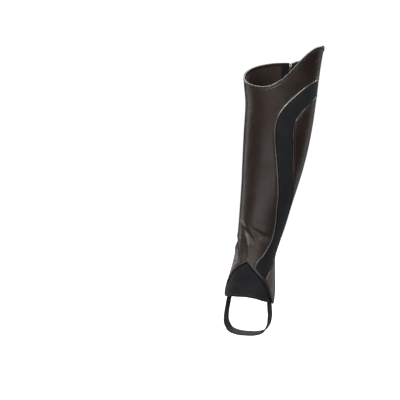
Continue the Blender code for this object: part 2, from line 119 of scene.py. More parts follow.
# angle, height
topEdge = (
    (-180, 112), (-150, 111), (-120, 106.5), (-90, 99.5), (-65, 92), (-43, 87), (-21, 85), (-5, 87),
    (8, 94), (20, 105), (32, 121), (42, 134), (52, 144), (64, 150), (78, 152), (89, 151), (104, 145),
    (130, 133), (155, 121), (180, 112),
)
footEdge = (
    (-180, -245), (-160, -247), (-143, -252), (-124, -266), (-107, -284), (-93, -301), (-84.5, -307.5),
    (-77, -300), (-67, -281), (-57, -263), (-47, -253), (-33, -244), (-17, -236.5), (-3, -230.5),
    (7, -236), (19, -245), (33, -256), (45, -266), (56, -280), (69, -297), (82, -312), (90, -318.5),
    (98, -311), (110, -295), (124, -274), (141, -257), (160, -249), (180, -245),
)
innerPoint, archPoint, outerPoint = footCorners = (-84.5, -3, 90)
innerSeam = (
    (-19, -237.3), (-36, -219), (-52, -201), (-65, -180), (-76, -161), (-85, -134), (-86, -99), (-80, -72),
    (-76, -46), (-78, -20), (-85, 8), (-97, 42), (-108, 78), (-113, 104.6),
)
bandFront = (
    (22, -247.3), (26, -233), (39, -222), (46.5, -209), (51, -193), (49, -175), (46, -160), (40, -136),
    (34, -104), (26, -75), (19, -48), (13, -20), (10, 0), (9, 19), (12, 35), (19, 49), (31, 63),
    (44, 75), (61, 86), (80, 90.5), (110, 92), (145, 90), (175, 86),
)
bandRear = (
    (52, -274.5), (60, -261), (71, -252), (86, -242), (94, -228), (98, -205), (96, -180), (90, -152),
    (81, -125), (68, -98), (57, -69), (49, -40), (44, -12), (41, 10), (44, 26), (52, 40), (71, 52),
    (91, 60), (120, 62), (150, 60), (175, 56),
)
gussetHem = (
    (-82, -303), (-60, -301.5), (-44, -299), (-25, -296), (-6, -294.5), (17, -295.5), (35, -299.5),
    (53, -305.5), (70, -311), (86, -316),
)

# angle, height, direction, half length, width above, width below, depth
creases = (
    (-20, -180, -35, 27, 4.2, 6.6, -3.8),
    (17, -182, -26, 21, 4.0, 7.0, -3.4),
    (-12, -168, -65, 7, 3.5, 5, -0.9),
    (-29, -182, -44, 16, 7, 2.4, 2.0),
    (-10, -205, -66, 13, 7, 2.4, 1.9),
    (-2, -224, -76, 8, 7, 2.4, 1.2),
    (-90, -176, -41, 17, 6, 6, -1.6),
    (-98, -188, -15, 22, 5, 5, 1.3),
    (-93, -199, -13, 30, 5, 5, -1.7),
    (-83, -214, -12, 22, 6, 6, 1.4),
    (-140, -196, -20, 24, 7, 7, -1.4),
    (128, -192, 14, 18, 7, 7, -1.5),
    (134, -206, 10, 18, 7, 7, 1.3),
)

# finer ones that only show close up, in the same columns
fineCreases = (
    (-26, -196, -62, 15, 2.4, 2.4, -0.7),
    (-2, -196, -22, 15, 2.6, 2.6, -0.6),
    (6, -163, -30, 14, 3.0, 3.0, -0.5),
    (-52, -188, -40, 12, 2.8, 2.8, -0.6),
    (-66, -206, -20, 12, 2.6, 2.6, -0.5),
    (-118, -184, -10, 14, 3.0, 3.0, -0.6),
    (-118, -214, 4, 14, 3.0, 3.0, -0.6),
    (-150, -212, 12, 14, 3.0, 3.0, -0.7),
    (-158, -180, 8, 12, 3.0, 3.0, -0.5),
    (116, -216, 8, 12, 2.6, 2.6, -0.5),
    (150, -200, -6, 14, 3.0, 3.0, -0.7),
    (156, -222, 4, 12, 3.0, 3.0, -0.5),
    (146, -180, 10, 12, 3.0, 3.0, -0.4),
)

# broad soft swells of worn leather, in the same columns
swells = (
    (24, 88, 40, 22, 13, 13, 1.0),
    (-46, 64, 80, 30, 16, 16, -0.9),
    (-34, -60, 84, 60, 10, 10, -0.5),
    (-8, -130, 80, 40, 16, 16, 0.5),
    (-100, 20, 80, 50, 20, 20, 0.5),
    (120, -40, 80, 60, 20, 20, 0.5),
    (70, 120, 30, 30, 14, 14, -0.7),
)

# x, y and height under the foot, in millimetres
strapLine = (
    (-94.4, 10.0, -322.0), (-95.0, 6.0, -338.0), (-93.0, 1.0, -354.0), (-85.0, -1.0, -366.5),
    (-71.0, -2.0, -371.5), (-53.0, -2.0, -372.5), (-36.0, -1.0, -371.5), (-22.0, 1.0, -366.5),
    (-14.0, 4.0, -354.0), (-12.4, 8.0, -338.0), (-13.4, 13.0, -326.0),
)


def smooth(knots, at):
    knots = np.asarray(knots, float)
    place, values = knots[:, 0], knots[:, 1:]
    slopes = np.gradient(values, place, axis=0)
    at = np.clip(np.asarray(at, float), place[0], place[-1])
    low = np.clip(np.searchsorted(place, at) - 1, 0, len(place) - 2)
    span = (place[low + 1] - place[low])[..., None]
    t = (at - place[low])[..., None] / span
    return (
        (2 * t**3 - 3 * t**2 + 1) * values[low]
        + (t**3 - 2 * t**2 + t) * span * slopes[low]
        + (3 * t**2 - 2 * t**3) * values[low + 1]
        + (t**3 - t**2) * span * slopes[low + 1]
    )


def runOf(points):
    return np.concatenate([[0], np.cumsum(np.linalg.norm(np.diff(points, axis=0), axis=1))])


def readAt(at, run, line):
    # a line's columns, read at places along its run
    return np.column_stack([np.interp(at, run, column) for column in np.asarray(line).T])


def heightOn(line, angle):
    return np.interp(angle, line[:, 0], line[:, 1])


def unit(vectors):
    return vectors / np.linalg.norm(vectors, axis=-1, keepdims=True)


def bell(away, width):
    return np.exp(-((away / width) ** 2))


def along(points, corners=()):
    # a dense smooth line, with a real corner where the first column is in corners
    points = np.asarray(points, float)
    stops = [0] + [i for i, p in enumerate(points) if p[0] in corners] + [len(points) - 1]
    line = []
    for first, last in zip(stops[:-1], stops[1:]):
        part = points[first:last + 1]
        run = runOf(part)
        dense = smooth(np.column_stack([run, part]), np.linspace(0, run[-1], 16 * (last - first) + 1))
        line.append(dense if not line else dense[1:])
    return np.vstack(line)


def spaced(line, cells):
    run = runOf(line)
    return readAt(np.linspace(0, run[-1], cells + 1), run, line)


def between(line, start, end):
    keep = line[(line[:, 0] > start + 0.4) & (line[:, 0] < end - 0.4)]
    return np.vstack([[start, heightOn(line, start)], keep, [end, heightOn(line, end)]])


def bare(angle, height):
    angle = np.radians(angle)
    cx, cy, half, front, back = np.moveaxis(smooth(sections, height), -1, 0)
    deep = np.where(np.cos(angle) > 0, front, back)
    return np.stack([cx + half * np.sin(angle), cy - deep * np.cos(angle), height + 0 * angle], -1)


def bumps(table, angle, height):
    total = 0 * angle
    for middle, level, turn, length, above, below, depth in table:
        c, s = np.cos(np.radians(turn)), np.sin(np.radians(turn))
        across, up = (angle - middle) * 0.85, height - level
        lengthwise, sideways = (c * across + s * up) / length, c * up - s * across
        sideways = sideways / np.where(sideways > 0, above, below)
        total = total + depth * np.exp(-(lengthwise**4) - sideways**2)
    return total


def outOf(angle, height):
    roundIt = bare(angle + 0.5, height) - bare(angle - 0.5, height)
    upward = bare(angle, height + 1.0) - bare(angle, height - 1.0)
    return unit(np.cross(roundIt, upward))


def leg(angle, height, out=0.0, creased=True):
    # points of the worn chap's outer surface, moved out
    angle, height = np.broadcast_arrays(np.asarray(angle, float), np.asarray(height, float))
    if creased:
        out = out + bumps(creases, angle, height)
    return bare(angle, height) + outOf(angle, height) * np.asarray(out + 0 * angle)[..., None]


def perDegree(height):
    # millimetres to a degree round the leg
    half, front, back = np.moveaxis(smooth(sections, height), -1, 0)[2:]
    return np.radians((half + (front + back) / 2) / 2)


def leftOf(way):
    # the direction at right angles to it, to its left
    return unit(np.array([-way[1], way[0]]))


def inset(lines, distances):
    # lines of (angle, height) that meet in a loop, each moved inward by its distance
    counts = [len(line) - 1 for line in lines]
    loop = np.vstack([line[:-1] for line in lines])
    distances = np.repeat(distances, counts)
    following = np.roll(loop, -1, axis=0)
    inward = np.sign((loop[:, 0] * following[:, 1] - following[:, 0] * loop[:, 1]).sum())
    moved = loop.copy()
    for i, (here, scale) in enumerate(zip(loop, perDegree(loop[:, 1]))):
        metric = [scale, 1]
        n0 = inward * leftOf((here - loop[i - 1]) * metric)
        n1 = inward * leftOf((following[i] - here) * metric)
        if n0 @ n1 > 0.999:
            shift = unit(n0 + n1) * (distances[i - 1] + distances[i]) / 2
        else:
            shift = np.linalg.solve(np.array([n0, n1]), [distances[i - 1], distances[i]])
        moved[i] = here + shift / metric
    moved = np.vstack([moved, moved[:1]])
    starts = np.concatenate([[0], np.cumsum(counts)])
    return [moved[a:b + 1] for a, b in zip(starts[:-1], starts[1:])]


def respaced(line, bend):
    # evenly spaced up to its bend and after it
    first, last = line[0, 0], line[-1, 0]
    inside = [i for i in range(1, len(line) - 1) if first + 0.2 < line[i, 0] < last - 0.2]
    head = [line[0]] + [line[i] for i in inside if i <= bend]
    tail = [line[i] for i in inside if i >= bend] + [line[-1]]
    return np.vstack([spaced(np.array(head), bend)[:-1], spaced(np.array(tail), len(line) - 1 - bend)])


def shares(cells, per, low=True, high=True):
    # even steps, with closer ones in the first and the last cell
    close = [0.07, 0.15, 0.24, 0.35, 0.5, 0.72]
    steps = list(np.linspace(0, cells, cells * per + 1))
    if low:
        steps = [s for s in steps if not 1e-6 < s < 1 - 1e-6] + close
    if high:
        steps = [s for s in steps if not cells - 1 + 1e-6 < s < cells - 1e-6] + [cells - s for s in close]
    return np.array(sorted(steps)) / cells


def fineLine(points, at, corner=None):
    # a smooth line through points, read at shares of their count, sharp at one corner
    places = np.arange(len(points), dtype=float)
    at = np.asarray(at) * places[-1]
    knots = np.column_stack([places, points])
    if corner is None:
        return smooth(knots, at)
    return np.where((at <= corner)[:, None], smooth(knots[:corner + 1], at), smooth(knots[corner:], at))


def filled(bottom, right, top, left, u, v, power=3):
    u, v = u[None, :, None], v[:, None, None]
    lowBow = bottom[None] - (1 - u) * bottom[0] - u * bottom[-1]
    highBow = top[None] - (1 - u) * top[0] - u * top[-1]
    return (1 - u) * left[:, None] + u * right[:, None] + (1 - v) ** power * lowBow + v**power * highBow


topLine, footLine = along(topEdge), along(footEdge, footCorners)
seamLine, frontLine, rearLine = along(innerSeam), along(bandFront), along(bandRear)
zipAngle = 180 - cut["zipEdge"] / perDegree(0.0)


def upThenBack(line, height, rows, cells):
    turn = int(np.argmax(line[:, 1] >= height))
    return np.vstack([spaced(line[:turn + 1], rows)[:-1], spaced(line[turn:], cells)])


lowerRows, upperRows = cut["lowerRows"], cut["upperRows"]
frontCells, sweepCells = cut["frontCells"], cut["sweepCells"]
seam = upThenBack(seamLine, cut["turnFront"], lowerRows, upperRows)
frontEdge = upThenBack(frontLine, cut["turnFront"], lowerRows, sweepCells)
rearEdge = upThenBack(rearLine, cut["turnRear"], lowerRows, sweepCells)
frontEdge[-1, 0] = rearEdge[-1, 0] = zipAngle
seam[-1, 1] = heightOn(topLine, seam[-1, 0])
for edge in (seam, frontEdge, rearEdge):
    edge[0, 1] = heightOn(footLine, edge[0, 0])


def footRun(start, end, cells, corner=None):
    if corner is None:
        return spaced(between(footLine, start, end), cells)
    first = spaced(between(footLine, start, corner), cells // 2)
    return np.vstack([first[:-1], spaced(between(footLine, corner, end), cells - cells // 2)])


def upright(angle, low, high, cells):
    return np.column_stack([np.full(cells + 1, angle), np.linspace(low, high, cells + 1)])


topAt, footAt = heightOn(topLine, zipAngle), heightOn(footLine, zipAngle)
innerTopAt, innerFootAt = heightOn(topLine, -zipAngle), heightOn(footLine, -zipAngle)
footFront = footRun(seam[0, 0], frontEdge[0, 0], frontCells, archPoint)
footInner = footRun(-zipAngle, seam[0, 0], cut["innerCells"], innerPoint)
footBand = footRun(frontEdge[0, 0], rearEdge[0, 0], cut["bandCells"])
footRear = footRun(rearEdge[0, 0], zipAngle, sweepCells, outerPoint)
topFront = spaced(between(topLine, seam[-1, 0], zipAngle), frontCells + sweepCells)
topInner = spaced(between(topLine, -zipAngle, seam[-1, 0]), cut["innerCells"])

# how far each kind of edge stops short of its line: in a binding, at a piping, at a plain seam, at the zip
seamRoom = {"bound": 2.2, "piped": 0.8, "plain": 0.1, "zip": 0.15}
bound, piped, plain, atZip = seamRoom["bound"], seamRoom["piped"], seamRoom["plain"], seamRoom["zip"]


def oneGrid(loop, u, v, corner=None):
    # the loop goes along the foot, up, back along the top and down
    low, right, top, left = loop
    low, top = fineLine(low, u, corner), fineLine(top[::-1], u)
    return filled(low, fineLine(right, v), top, fineLine(left[::-1], v), u, v)


def frontPanelGrids():
    low, side, sweep, zipSide, top, highSeam, lowSeam = inset(
        [
            footFront,
            frontEdge[:lowerRows + 1],
            frontEdge[lowerRows:],
            upright(zipAngle, frontEdge[-1, 1], topAt, upperRows),
            topFront[::-1],
            seam[lowerRows:][::-1],
            seam[:lowerRows + 1][::-1],
        ],
        [bound, piped, piped, atZip, bound, plain, plain],
    )
    u, v = shares(frontCells, 3), shares(lowerRows, 4, high=False)
    acrossIt = lowSeam[0] + (side[-1] - lowSeam[0]) * u[:, None]
    lowFine = fineLine(respaced(low, frontCells // 2), u, frontCells // 2)
    lower = filled(lowFine, fineLine(side, v), acrossIt, fineLine(lowSeam[::-1], v), u, v)
    uSweep, v = shares(sweepCells, 4, low=False), shares(upperRows, 4)
    u = np.concatenate([u * frontCells, frontCells + uSweep[1:] * sweepCells]) / (frontCells + sweepCells)
    bottom = np.vstack([acrossIt, fineLine(sweep, uSweep)[1:]])
    topFine, seamFine = fineLine(top[::-1], u), fineLine(highSeam[::-1], v)
    upper = filled(bottom, fineLine(zipSide, v), topFine, seamFine, u, v, 1)
    edges = {
        "bound": [low, top],
        "piped": [np.vstack([side, sweep[1:]])],
        "plain": [np.vstack([highSeam, lowSeam[1:]])],
        "zip": [zipSide],
    }
    return [lower, upper], edges


def innerPanelGrids():
    rows, cells = lowerRows + upperRows, cut["innerCells"]
    zipLine = upright(-zipAngle, innerFootAt, innerTopAt, rows)[::-1]
    loop = inset([footInner, seam, topInner[::-1], zipLine], [bound, plain, bound, atZip])
    grid = oneGrid(loop, shares(cells, 3), shares(rows, 4), cells // 2)
    return [grid], {"bound": [loop[0], loop[2]], "plain": [loop[1]], "zip": [loop[3]]}


def rearPanelGrids():
    zipLine = upright(zipAngle, footAt, rearEdge[-1, 1], lowerRows)
    loop = inset(
        [footRear, zipLine, rearEdge[lowerRows:][::-1], rearEdge[:lowerRows + 1][::-1]],
        [bound, atZip, piped, piped],
    )
    grid = oneGrid(loop, shares(sweepCells, 3), shares(lowerRows, 4), sweepCells // 2)
    return [grid], {"bound": [loop[0]], "piped": [np.vstack([loop[2], loop[3][1:]])], "zip": [loop[1]]}


def bandGrids():
    end = np.linspace(rearEdge[-1], frontEdge[-1], cut["bandCells"] + 1)
    loop = inset([footBand, rearEdge, end, frontEdge[::-1]], [bound, piped, atZip, piped])
    grid = oneGrid(loop, shares(cut["bandCells"], 2), shares(lowerRows + sweepCells, 4))
    return [grid], {"bound": [loop[0]], "piped": [loop[1], loop[3]], "zip": [loop[2]]}


def nearest(grid, line):
    # millimetres from each grid point to a line, and how far along it the nearest point lies
    dense = fineLine(line, np.linspace(0, 1, 12 * len(line)))
    run = runOf(leg(*dense.T, creased=False))
    flat = grid.reshape(-1, 2)
    apart = flat[:, None] - dense
    away = (apart[..., 0] * perDegree(flat[:, 1])[:, None]) ** 2 + apart[..., 1] ** 2
    which = away.argmin(1)
    return np.sqrt(away.min(1)).reshape(grid.shape[:2]), run[which].reshape(grid.shape[:2])


# how the cloth dips into each kind of edge, over what reach, and how it swells beside it, in millimetres
edgeRoll = {
    "bound": {"dip": 0.15, "reach": 1.2, "swell": 0.0, "swellAt": 5.0},
    "piped": {"dip": 0.75, "reach": 1.7, "swell": 0.28, "swellAt": 5.0},
    "plain": {"dip": 0.95, "reach": 1.6, "swell": 0.22, "swellAt": 4.5},
    "zip": {"dip": 0.55, "reach": 1.3, "swell": 0.15, "swellAt": 4.0},
}


def rolled(grid, edges):
    # how far the seams move the cloth out, and the distance and run of the nearest seam
    out = np.zeros(grid.shape[:2])
    nearestEdge = np.full(grid.shape[:2], 1e9)
    nearestRun = np.zeros(grid.shape[:2])
    for kind, lines in edges.items():
        roll = edgeRoll[kind]
        for line in lines:
            away, run = nearest(grid, line)
            out -= roll["dip"] * bell(away, roll["reach"])
            out += roll["swell"] * bell(away - roll["swellAt"], 3.2)
            nearestRun = np.where(away < nearestEdge, run, nearestRun)
            nearestEdge = np.minimum(away, nearestEdge)
    return out, nearestEdge, nearestRun


def nothingSelected():
    if bpy.context.object and bpy.context.object.mode != "OBJECT":
        bpy.ops.object.mode_set(mode="OBJECT")
    bpy.ops.object.select_all(action="DESELECT")


def alone(piece):
    nothingSelected()
    piece.select_set(True)
    bpy.context.view_layer.objects.active = piece
    return piece


def applied(piece, kind, **settings):
    # one finishing modifier, set and applied
    alone(piece)
    change = piece.modifiers.new(kind.lower(), kind)
    for key, value in settings.items():
        setattr(change, key, value)
    bpy.ops.object.modifier_apply(modifier=change.name)
    return piece


def smoothed(piece, angle):
    alone(piece)
    bpy.ops.object.shade_smooth_by_angle(angle=float(np.radians(angle)))
    return piece


def mended(piece, doubles=True, outward=True):
    # doubled corners merged and faces turned outwards
    alone(piece)
    bpy.ops.object.mode_set(mode="EDIT")
    bpy.ops.mesh.select_all(action="SELECT")
    if doubles:
        bpy.ops.mesh.remove_doubles(threshold=0.01 * mm)
    if outward:
        bpy.ops.mesh.normals_make_consistent(inside=False)
    bpy.ops.object.mode_set(mode="OBJECT")
    return piece


def coated(piece, *finishes):
    piece.data.materials.clear()
    for finish in finishes:
        piece.data.materials.append(finish)
    return piece


def meshPiece(name, corners, faces, *finishes):
    mesh = bpy.data.meshes.new(name)
    mesh.from_pydata((corners * mm).tolist(), [], faces)
    return coated(linked(name, mesh), *finishes)


def marked(piece, name, values):
    mark = piece.data.attributes.new(name, "FLOAT", "POINT")
    mark.data.foreach_set("value", values.astype(np.float32))


def clothSheet(name, grids, thickness, finishes, tags=None):
    # a thin shell through grids of outer points, thickened inward, with its own map in millimetres
    corners, faces, maps, count = [], [], [], 0
    for points in grids:
        rows, columns = points.shape[:2]
        acrossRun, upRun = np.zeros((2, rows, columns))
        acrossRun[:, 1:] = np.cumsum(np.linalg.norm(np.diff(points, axis=1), axis=2), axis=1)
        upRun[1:] = np.cumsum(np.linalg.norm(np.diff(points, axis=0), axis=2), axis=0)
        maps.append(np.stack([acrossRun - acrossRun[:, [columns // 2]], upRun], -1).reshape(-1, 2))
        corners.append(points.reshape(-1, 3))
        index = count + np.arange(rows * columns).reshape(rows, columns)
        quads = np.stack([index[:-1, :-1], index[:-1, 1:], index[1:, 1:], index[1:, :-1]], -1)
        faces.append(quads.reshape(-1, 4))
        count += rows * columns
    faces, maps = np.vstack(faces), np.vstack(maps)
    piece = meshPiece(name, np.vstack(corners), faces.tolist(), *finishes)
    mapped = piece.data.uv_layers.new(name="cloth")
    mapped.data.foreach_set("uv", maps[faces.reshape(-1)].astype(np.float32).reshape(-1))
    for key, values in (tags or {}).items():
        marked(piece, key, np.concatenate([part.reshape(-1) for part in values]))
    mended(piece, outward=False)
    inner = 1 if len(finishes) > 1 else 0
    applied(piece, "SOLIDIFY", thickness=thickness * mm, offset=-1.0, material_offset=inner)
    return smoothed(piece, 50)


def cordMesh(name, line, radius, finish, sides=3):
    # a round cord through points
    curve = bpy.data.curves.new(name, "CURVE")
    curve.dimensions = "3D"
    curve.bevel_depth = radius * mm
    curve.bevel_resolution = sides
    curve.use_fill_caps = True
    run = curve.splines.new("POLY")
    run.points.add(len(line) - 1)
    for at, point in zip(run.points, line * mm):
        at.co = (*point, 1)
    alone(linked(name, curve))
    bpy.ops.object.convert(target="MESH")
    return smoothed(coated(mended(bpy.context.object), finish), 60)


def worn(piece, slot, *nodes, body="chap"):
    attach(piece, body)
    if nodes:
        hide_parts(*nodes)
    return piece


class Amount:
    # a number socket: sums written on it add Math nodes
    def __init__(self, finish, socket):
        self.finish, self.socket = finish, socket

    def __add__(self, other):
        return self.finish.math("ADD", self, other)

    def __mul__(self, other):
        return self.finish.math("MULTIPLY", self, other)

    def __sub__(self, other):
        return self.finish.math("SUBTRACT", self, other)

    def __rsub__(self, other):
        return self.finish.math("SUBTRACT", other, self)

    __radd__, __rmul__ = __add__, __mul__


class Finish:
    # one material, and the way its nodes are added
    def __init__(self, name, **constants):
        self.material = bpy.data.materials.new(name)
        self.material.use_nodes = True
        self.tree = self.material.node_tree
        self.shader = self.tree.nodes["Principled BSDF"]
        self.finished(**constants)

    def node(self, kind, settings=None, sockets=None, out=0):
        made = self.tree.nodes.new(kind)
        for key, value in (settings or {}).items():
            setattr(made, key, value)
        for key, value in (sockets or {}).items():
            self.put(made.inputs[key], value)
        return Amount(self, made.outputs[out])

    def put(self, socket, value):
        if isinstance(value, Amount):
            self.tree.links.new(value.socket, socket)
        elif isinstance(value, tuple) and len(value) == 3 and len(socket.default_value) == 4:
            socket.default_value = (*value, 1)
        else:
            socket.default_value = value

    def math(self, operation, first, second=0.0):
        return self.node("ShaderNodeMath", {"operation": operation}, {0: first, 1: second})

    def wave(self, amount, length, shift=0.0):
        turned = amount * (2 * np.pi / length)
        return self.math("SINE", turned + shift if shift else turned)

    def limited(self, amount, low, high):
        # 0 below low and 1 above high, smooth between them
        sockets = {"Value": amount, "From Min": low, "From Max": high}
        return self.node("ShaderNodeMapRange", {"interpolation_type": "SMOOTHSTEP"}, sockets)

    def place(self, scale=(1.0, 1.0, 1.0)):
        here = self.node("ShaderNodeTexCoord", out="Object")
        return self.node("ShaderNodeMapping", None, {"Vector": here, "Scale": scale})

    def split(self, vector):
        parts = self.node("ShaderNodeSeparateXYZ", None, {"Vector": vector}).socket.node
        return [Amount(self, out) for out in parts.outputs]

    def level(self):
        return self.split(self.place())[2]

    def clothMap(self):
        # the piece's own map: across and along, in millimetres
        return self.split(self.node("ShaderNodeUVMap", {"uv_map": "cloth"}))[:2]

    def mark(self, name):
        return self.node("ShaderNodeAttribute", {"attribute_name": name}, out="Fac")

    def noise(self, where, scale, detail=3.0, rough=0.5):
        sockets = {"Vector": where, "Scale": scale, "Detail": detail, "Roughness": rough}
        return self.node("ShaderNodeTexNoise", None, sockets)

    def blended(self, share, first, second):
        return self.node("ShaderNodeMix", {"data_type": "RGBA"}, {0: share, 6: first, 7: second}, out=2)

    def bump(self, height, distance, strength=1.0, under=None):
        sockets = {"Height": height, "Distance": distance, "Strength": strength}
        if under is not None:
            sockets["Normal"] = under
        return self.node("ShaderNodeBump", None, sockets)

    def finished(self, **values):
        for key, value in values.items():
            self.put(self.shader.inputs[key.replace("_", " ")], value)
        return self.material


def foldHighlight(finish):
    # painted highlight along the binding's folded rim, at the foot only over the arch
    return finish.mark("fold") * finish.limited(finish.level(), -0.278, -0.252) * 0.9


def curveHighlight(finish):
    # painted highlight on the piping where it turns over the calf
    level = finish.level()
    return finish.limited(level, 0.028, 0.046) * finish.limited(level, 0.092, 0.072)


leatherLook = {
    "deep": (0.0245, 0.0150, 0.0117),
    "mid": (0.0370, 0.0238, 0.0190),
    "worn": (0.062, 0.045, 0.038),
    "rough": 0.30,
    "roughSpread": 0.07,
    "grain": 0.00085,  # size of one pebble of the grain, in metres
    "grainDepth": 0.000035,
    "coat": 0.08,
    "gloss": 0.8,
    "footLightShare": 0.3,  # how far the leather at the foot goes toward the painted light tone
    # painted light: the pale tone the foot takes where light from the floor falls on it
    "footLightTone": (0.130, 0.110, 0.100),
    # painted shade in the seams, near black
    "paintedSeamShade": (0.008, 0.0055, 0.005),
    "pullPitch": 3.2,  # from stitch to stitch along a seam, in millimetres
    "cloud": 22.0,
    "mottle": 140.0,
    # heights over which it wears paler, takes painted light at the foot, and begins and ends to crease at
    # the ankle
    "wornFrom": (-0.05, -0.21),
    "footLightFrom": (-0.185, -0.250),
    "ankleFrom": (-0.145, -0.18),
    "ankleTo": (-0.25, -0.215),
}


def leatherFinish(name, look, seams=True, paintedHighlight=None):
    look = {**leatherLook, **look}
    finish = Finish(name, Coat_Roughness=0.25, Specular_IOR_Level=look["gloss"])
    where, level = finish.place(), finish.level()
    cloudy, mottled = finish.noise(where, look["cloud"], 4.0), finish.noise(where, look["mottle"])
    tone = finish.limited(cloudy * 0.7 + mottled * 0.3, 0.36, 0.66)
    colour = finish.blended(tone, look["deep"], look["mid"])
    pebble = finish.node(
        "ShaderNodeTexVoronoi",
        {"feature": "DISTANCE_TO_EDGE"},
        {"Vector": where, "Scale": 1 / look["grain"], "Randomness": 1.0},
    )
    grain = finish.limited(pebble, 0.0, 0.22)
    creased = finish.noise(finish.place((60.0, 60.0, 330.0)), 1.0, 3.0, 0.6)
    ankle = finish.limited(level, *look["ankleFrom"]) * finish.limited(level, *look["ankleTo"])
    rubs = 0.7 + mottled * 0.6
    colour = finish.blended(finish.limited(level, *look["wornFrom"]) * 0.25 * rubs, colour, look["worn"])
    # painted highlight, where the finish is given a mask for one
    if paintedHighlight:
        colour = finish.blended(paintedHighlight(finish), colour, look["paintedHighlight"])
    rough = look["rough"] + (mottled - 0.5) * look["roughSpread"] * 2
    normal = finish.bump(cloudy, 0.0009)
    normal = finish.bump(creased * ankle, 0.0007, 1.0, normal)
    if seams:
        # painted light: paler toward the foot, more so on the side panels
        paintedFootLight = finish.limited(level, *look["footLightFrom"]) * look["footLightShare"] * rubs
        colour = finish.blended(paintedFootLight, colour, look["footLightTone"])
        away, run = finish.mark("seam"), finish.mark("run")
        # painted shade: the leather darkened in the seams, where shade falls between the parts
        paintedSeamShade = 1 - finish.limited(away, 0.6, 2.0)
        colour = finish.blended(paintedSeamShade * 0.7, colour, look["paintedSeamShade"])
        wearAndHighlight = finish.limited(away, 0.8, 2.0) * (1 - finish.limited(away, 2.2, 6.0)) * mottled
        colour = finish.blended(wearAndHighlight * 0.55, colour, look["worn"])
        pull = finish.wave(run, look["pullPitch"]) * (1 - finish.limited(away, 2.6, 5.5))
        normal = finish.bump(pull, 0.00009, 1.0, normal)
        groove = finish.math("ABSOLUTE", away - 2.6)
        normal = finish.bump(finish.limited(groove, 0.0, 0.8), 0.00018, 1.0, normal)
    normal = finish.bump(grain, look["grainDepth"], 0.7, normal)
    return finish.finished(
        Base_Color=colour,
        Roughness=rough + (1 - grain) * 0.05,
        Coat_Weight=look["coat"] * finish.limited(cloudy, 0.3, 0.7),
        Normal=normal,
    )


# what differs from the panels' leather in the pipings and the bindings
pipingLook = {
    # the front piping's light greyish deep and mid tones are partly painted highlight, lighter than the
    # panels' leather
    "deep": (0.070, 0.060, 0.056),
    "mid": (0.135, 0.118, 0.111),
    "worn": (0.15, 0.13, 0.12),
    # colour of the painted highlight
    "paintedHighlight": (0.28, 0.265, 0.26),
    "rough": 0.22,
    "roughSpread": 0.06,
    "grain": 0.0006,
    "grainDepth": 0.00002,
    "coat": 1.0,
    "gloss": 1.0,
}

# the one behind the stretch panel is darker and less glossy, without the front piping's painted lightness
rearPipingLook = {
    "deep": (0.030, 0.023, 0.020),
    "mid": (0.058, 0.047, 0.042),
    "worn": (0.08, 0.068, 0.062),
    "coat": 0.5,
}

bindingLook = {
    "deep": (0.0245, 0.0150, 0.0120),
    "mid": (0.0380, 0.0245, 0.0200),
    "paintedHighlight": (0.20, 0.18, 0.17),
    "rough": 0.25,
    "coat": 0.4,
    "gloss": 0.9,
}

fleshLook = {"dark": (0.030, 0.020, 0.015), "light": (0.058, 0.041, 0.032)}


def fleshFinish(look):
    # the leather's rough side
    finish = Finish("leatherFleshSide", Specular_IOR_Level=0.2, Sheen_Weight=0.15)
    where = finish.place()
    fibre = finish.noise(where, 1400.0, 4.0, 0.7)
    patch = finish.noise(where, 60.0, 3.0)
    colour = finish.blended(patch * 0.6 + fibre * 0.4, look["dark"], look["light"])
    return finish.finished(Base_Color=colour, Roughness=0.9, Normal=finish.bump(fibre, 0.0002))


stretchLook = {
    "deep": (0.0092, 0.0099, 0.0118),
    "mid": (0.0182, 0.0194, 0.0226),
    "rib": 1.15,  # millimetres from rib to rib
    "stitch": 0.9,
    "depth": 0.00012,
}


def knitFinish(name, look, seams=False):
    finish = Finish(name, Specular_IOR_Level=0.2, Sheen_Weight=0.1, Sheen_Roughness=0.45)
    acrossIt, alongIt = finish.clothMap()
    rib = finish.wave(acrossIt, look["rib"])
    loops = finish.wave(alongIt, look["stitch"], finish.math("ABSOLUTE", rib) * 1.6)
    weave = rib * 0.5 + 0.5 + loops * 0.25
    patch = finish.noise(finish.place(), 45.0, 3.0)
    tone = finish.limited(weave * 0.35 + patch * 0.8, 0.2, 0.9)
    colour = finish.blended(tone, look["deep"], look["mid"])
    normal = finish.bump(patch, 0.0006)
    if seams:
        # painted shade: the knit darkened toward black beside its seams
        paintedSeamShade = 1 - finish.limited(finish.mark("seam"), 1.6, 3.6)
        colour = finish.blended(paintedSeamShade * 0.9, colour, (0.003, 0.003, 0.0035))
    normal = finish.bump(weave, look["depth"], 0.8, normal)
    return finish.finished(Base_Color=colour, Roughness=0.72 + (1 - patch) * 0.2, Normal=normal)


gussetLook = {
    "deep": (0.0088, 0.0088, 0.0108),
    "mid": (0.0185, 0.0180, 0.0218),
    "rib": 0.9,
    "stitch": 0.9,
    "depth": 0.00006,
}
webbingLook = {
    "deep": (0.006, 0.006, 0.007),
    "mid": (0.016, 0.016, 0.018),
    "rib": 2.2,
    "stitch": 1.1,
    "depth": 0.00030,
}
tapeLook = {
    "deep": (0.006, 0.006, 0.007),
    "mid": (0.016, 0.016, 0.018),
    "rib": 1.0,
    "stitch": 0.6,
    "depth": 0.00012,
}

threadLook = {"dark": (0.020, 0.015, 0.013), "light": (0.050, 0.038, 0.033), "twist": 0.0011}


def threadFinish(look):
    finish = Finish("sewingThread", Specular_IOR_Level=0.4, Sheen_Weight=0.2)
    where = finish.place()
    twist = finish.noise(where, 1 / look["twist"], 2.0)
    colour = finish.blended(finish.limited(twist, 0.35, 0.65), look["dark"], look["light"])
    return finish.finished(Base_Color=colour, Roughness=0.5, Normal=finish.bump(twist, 0.0001))


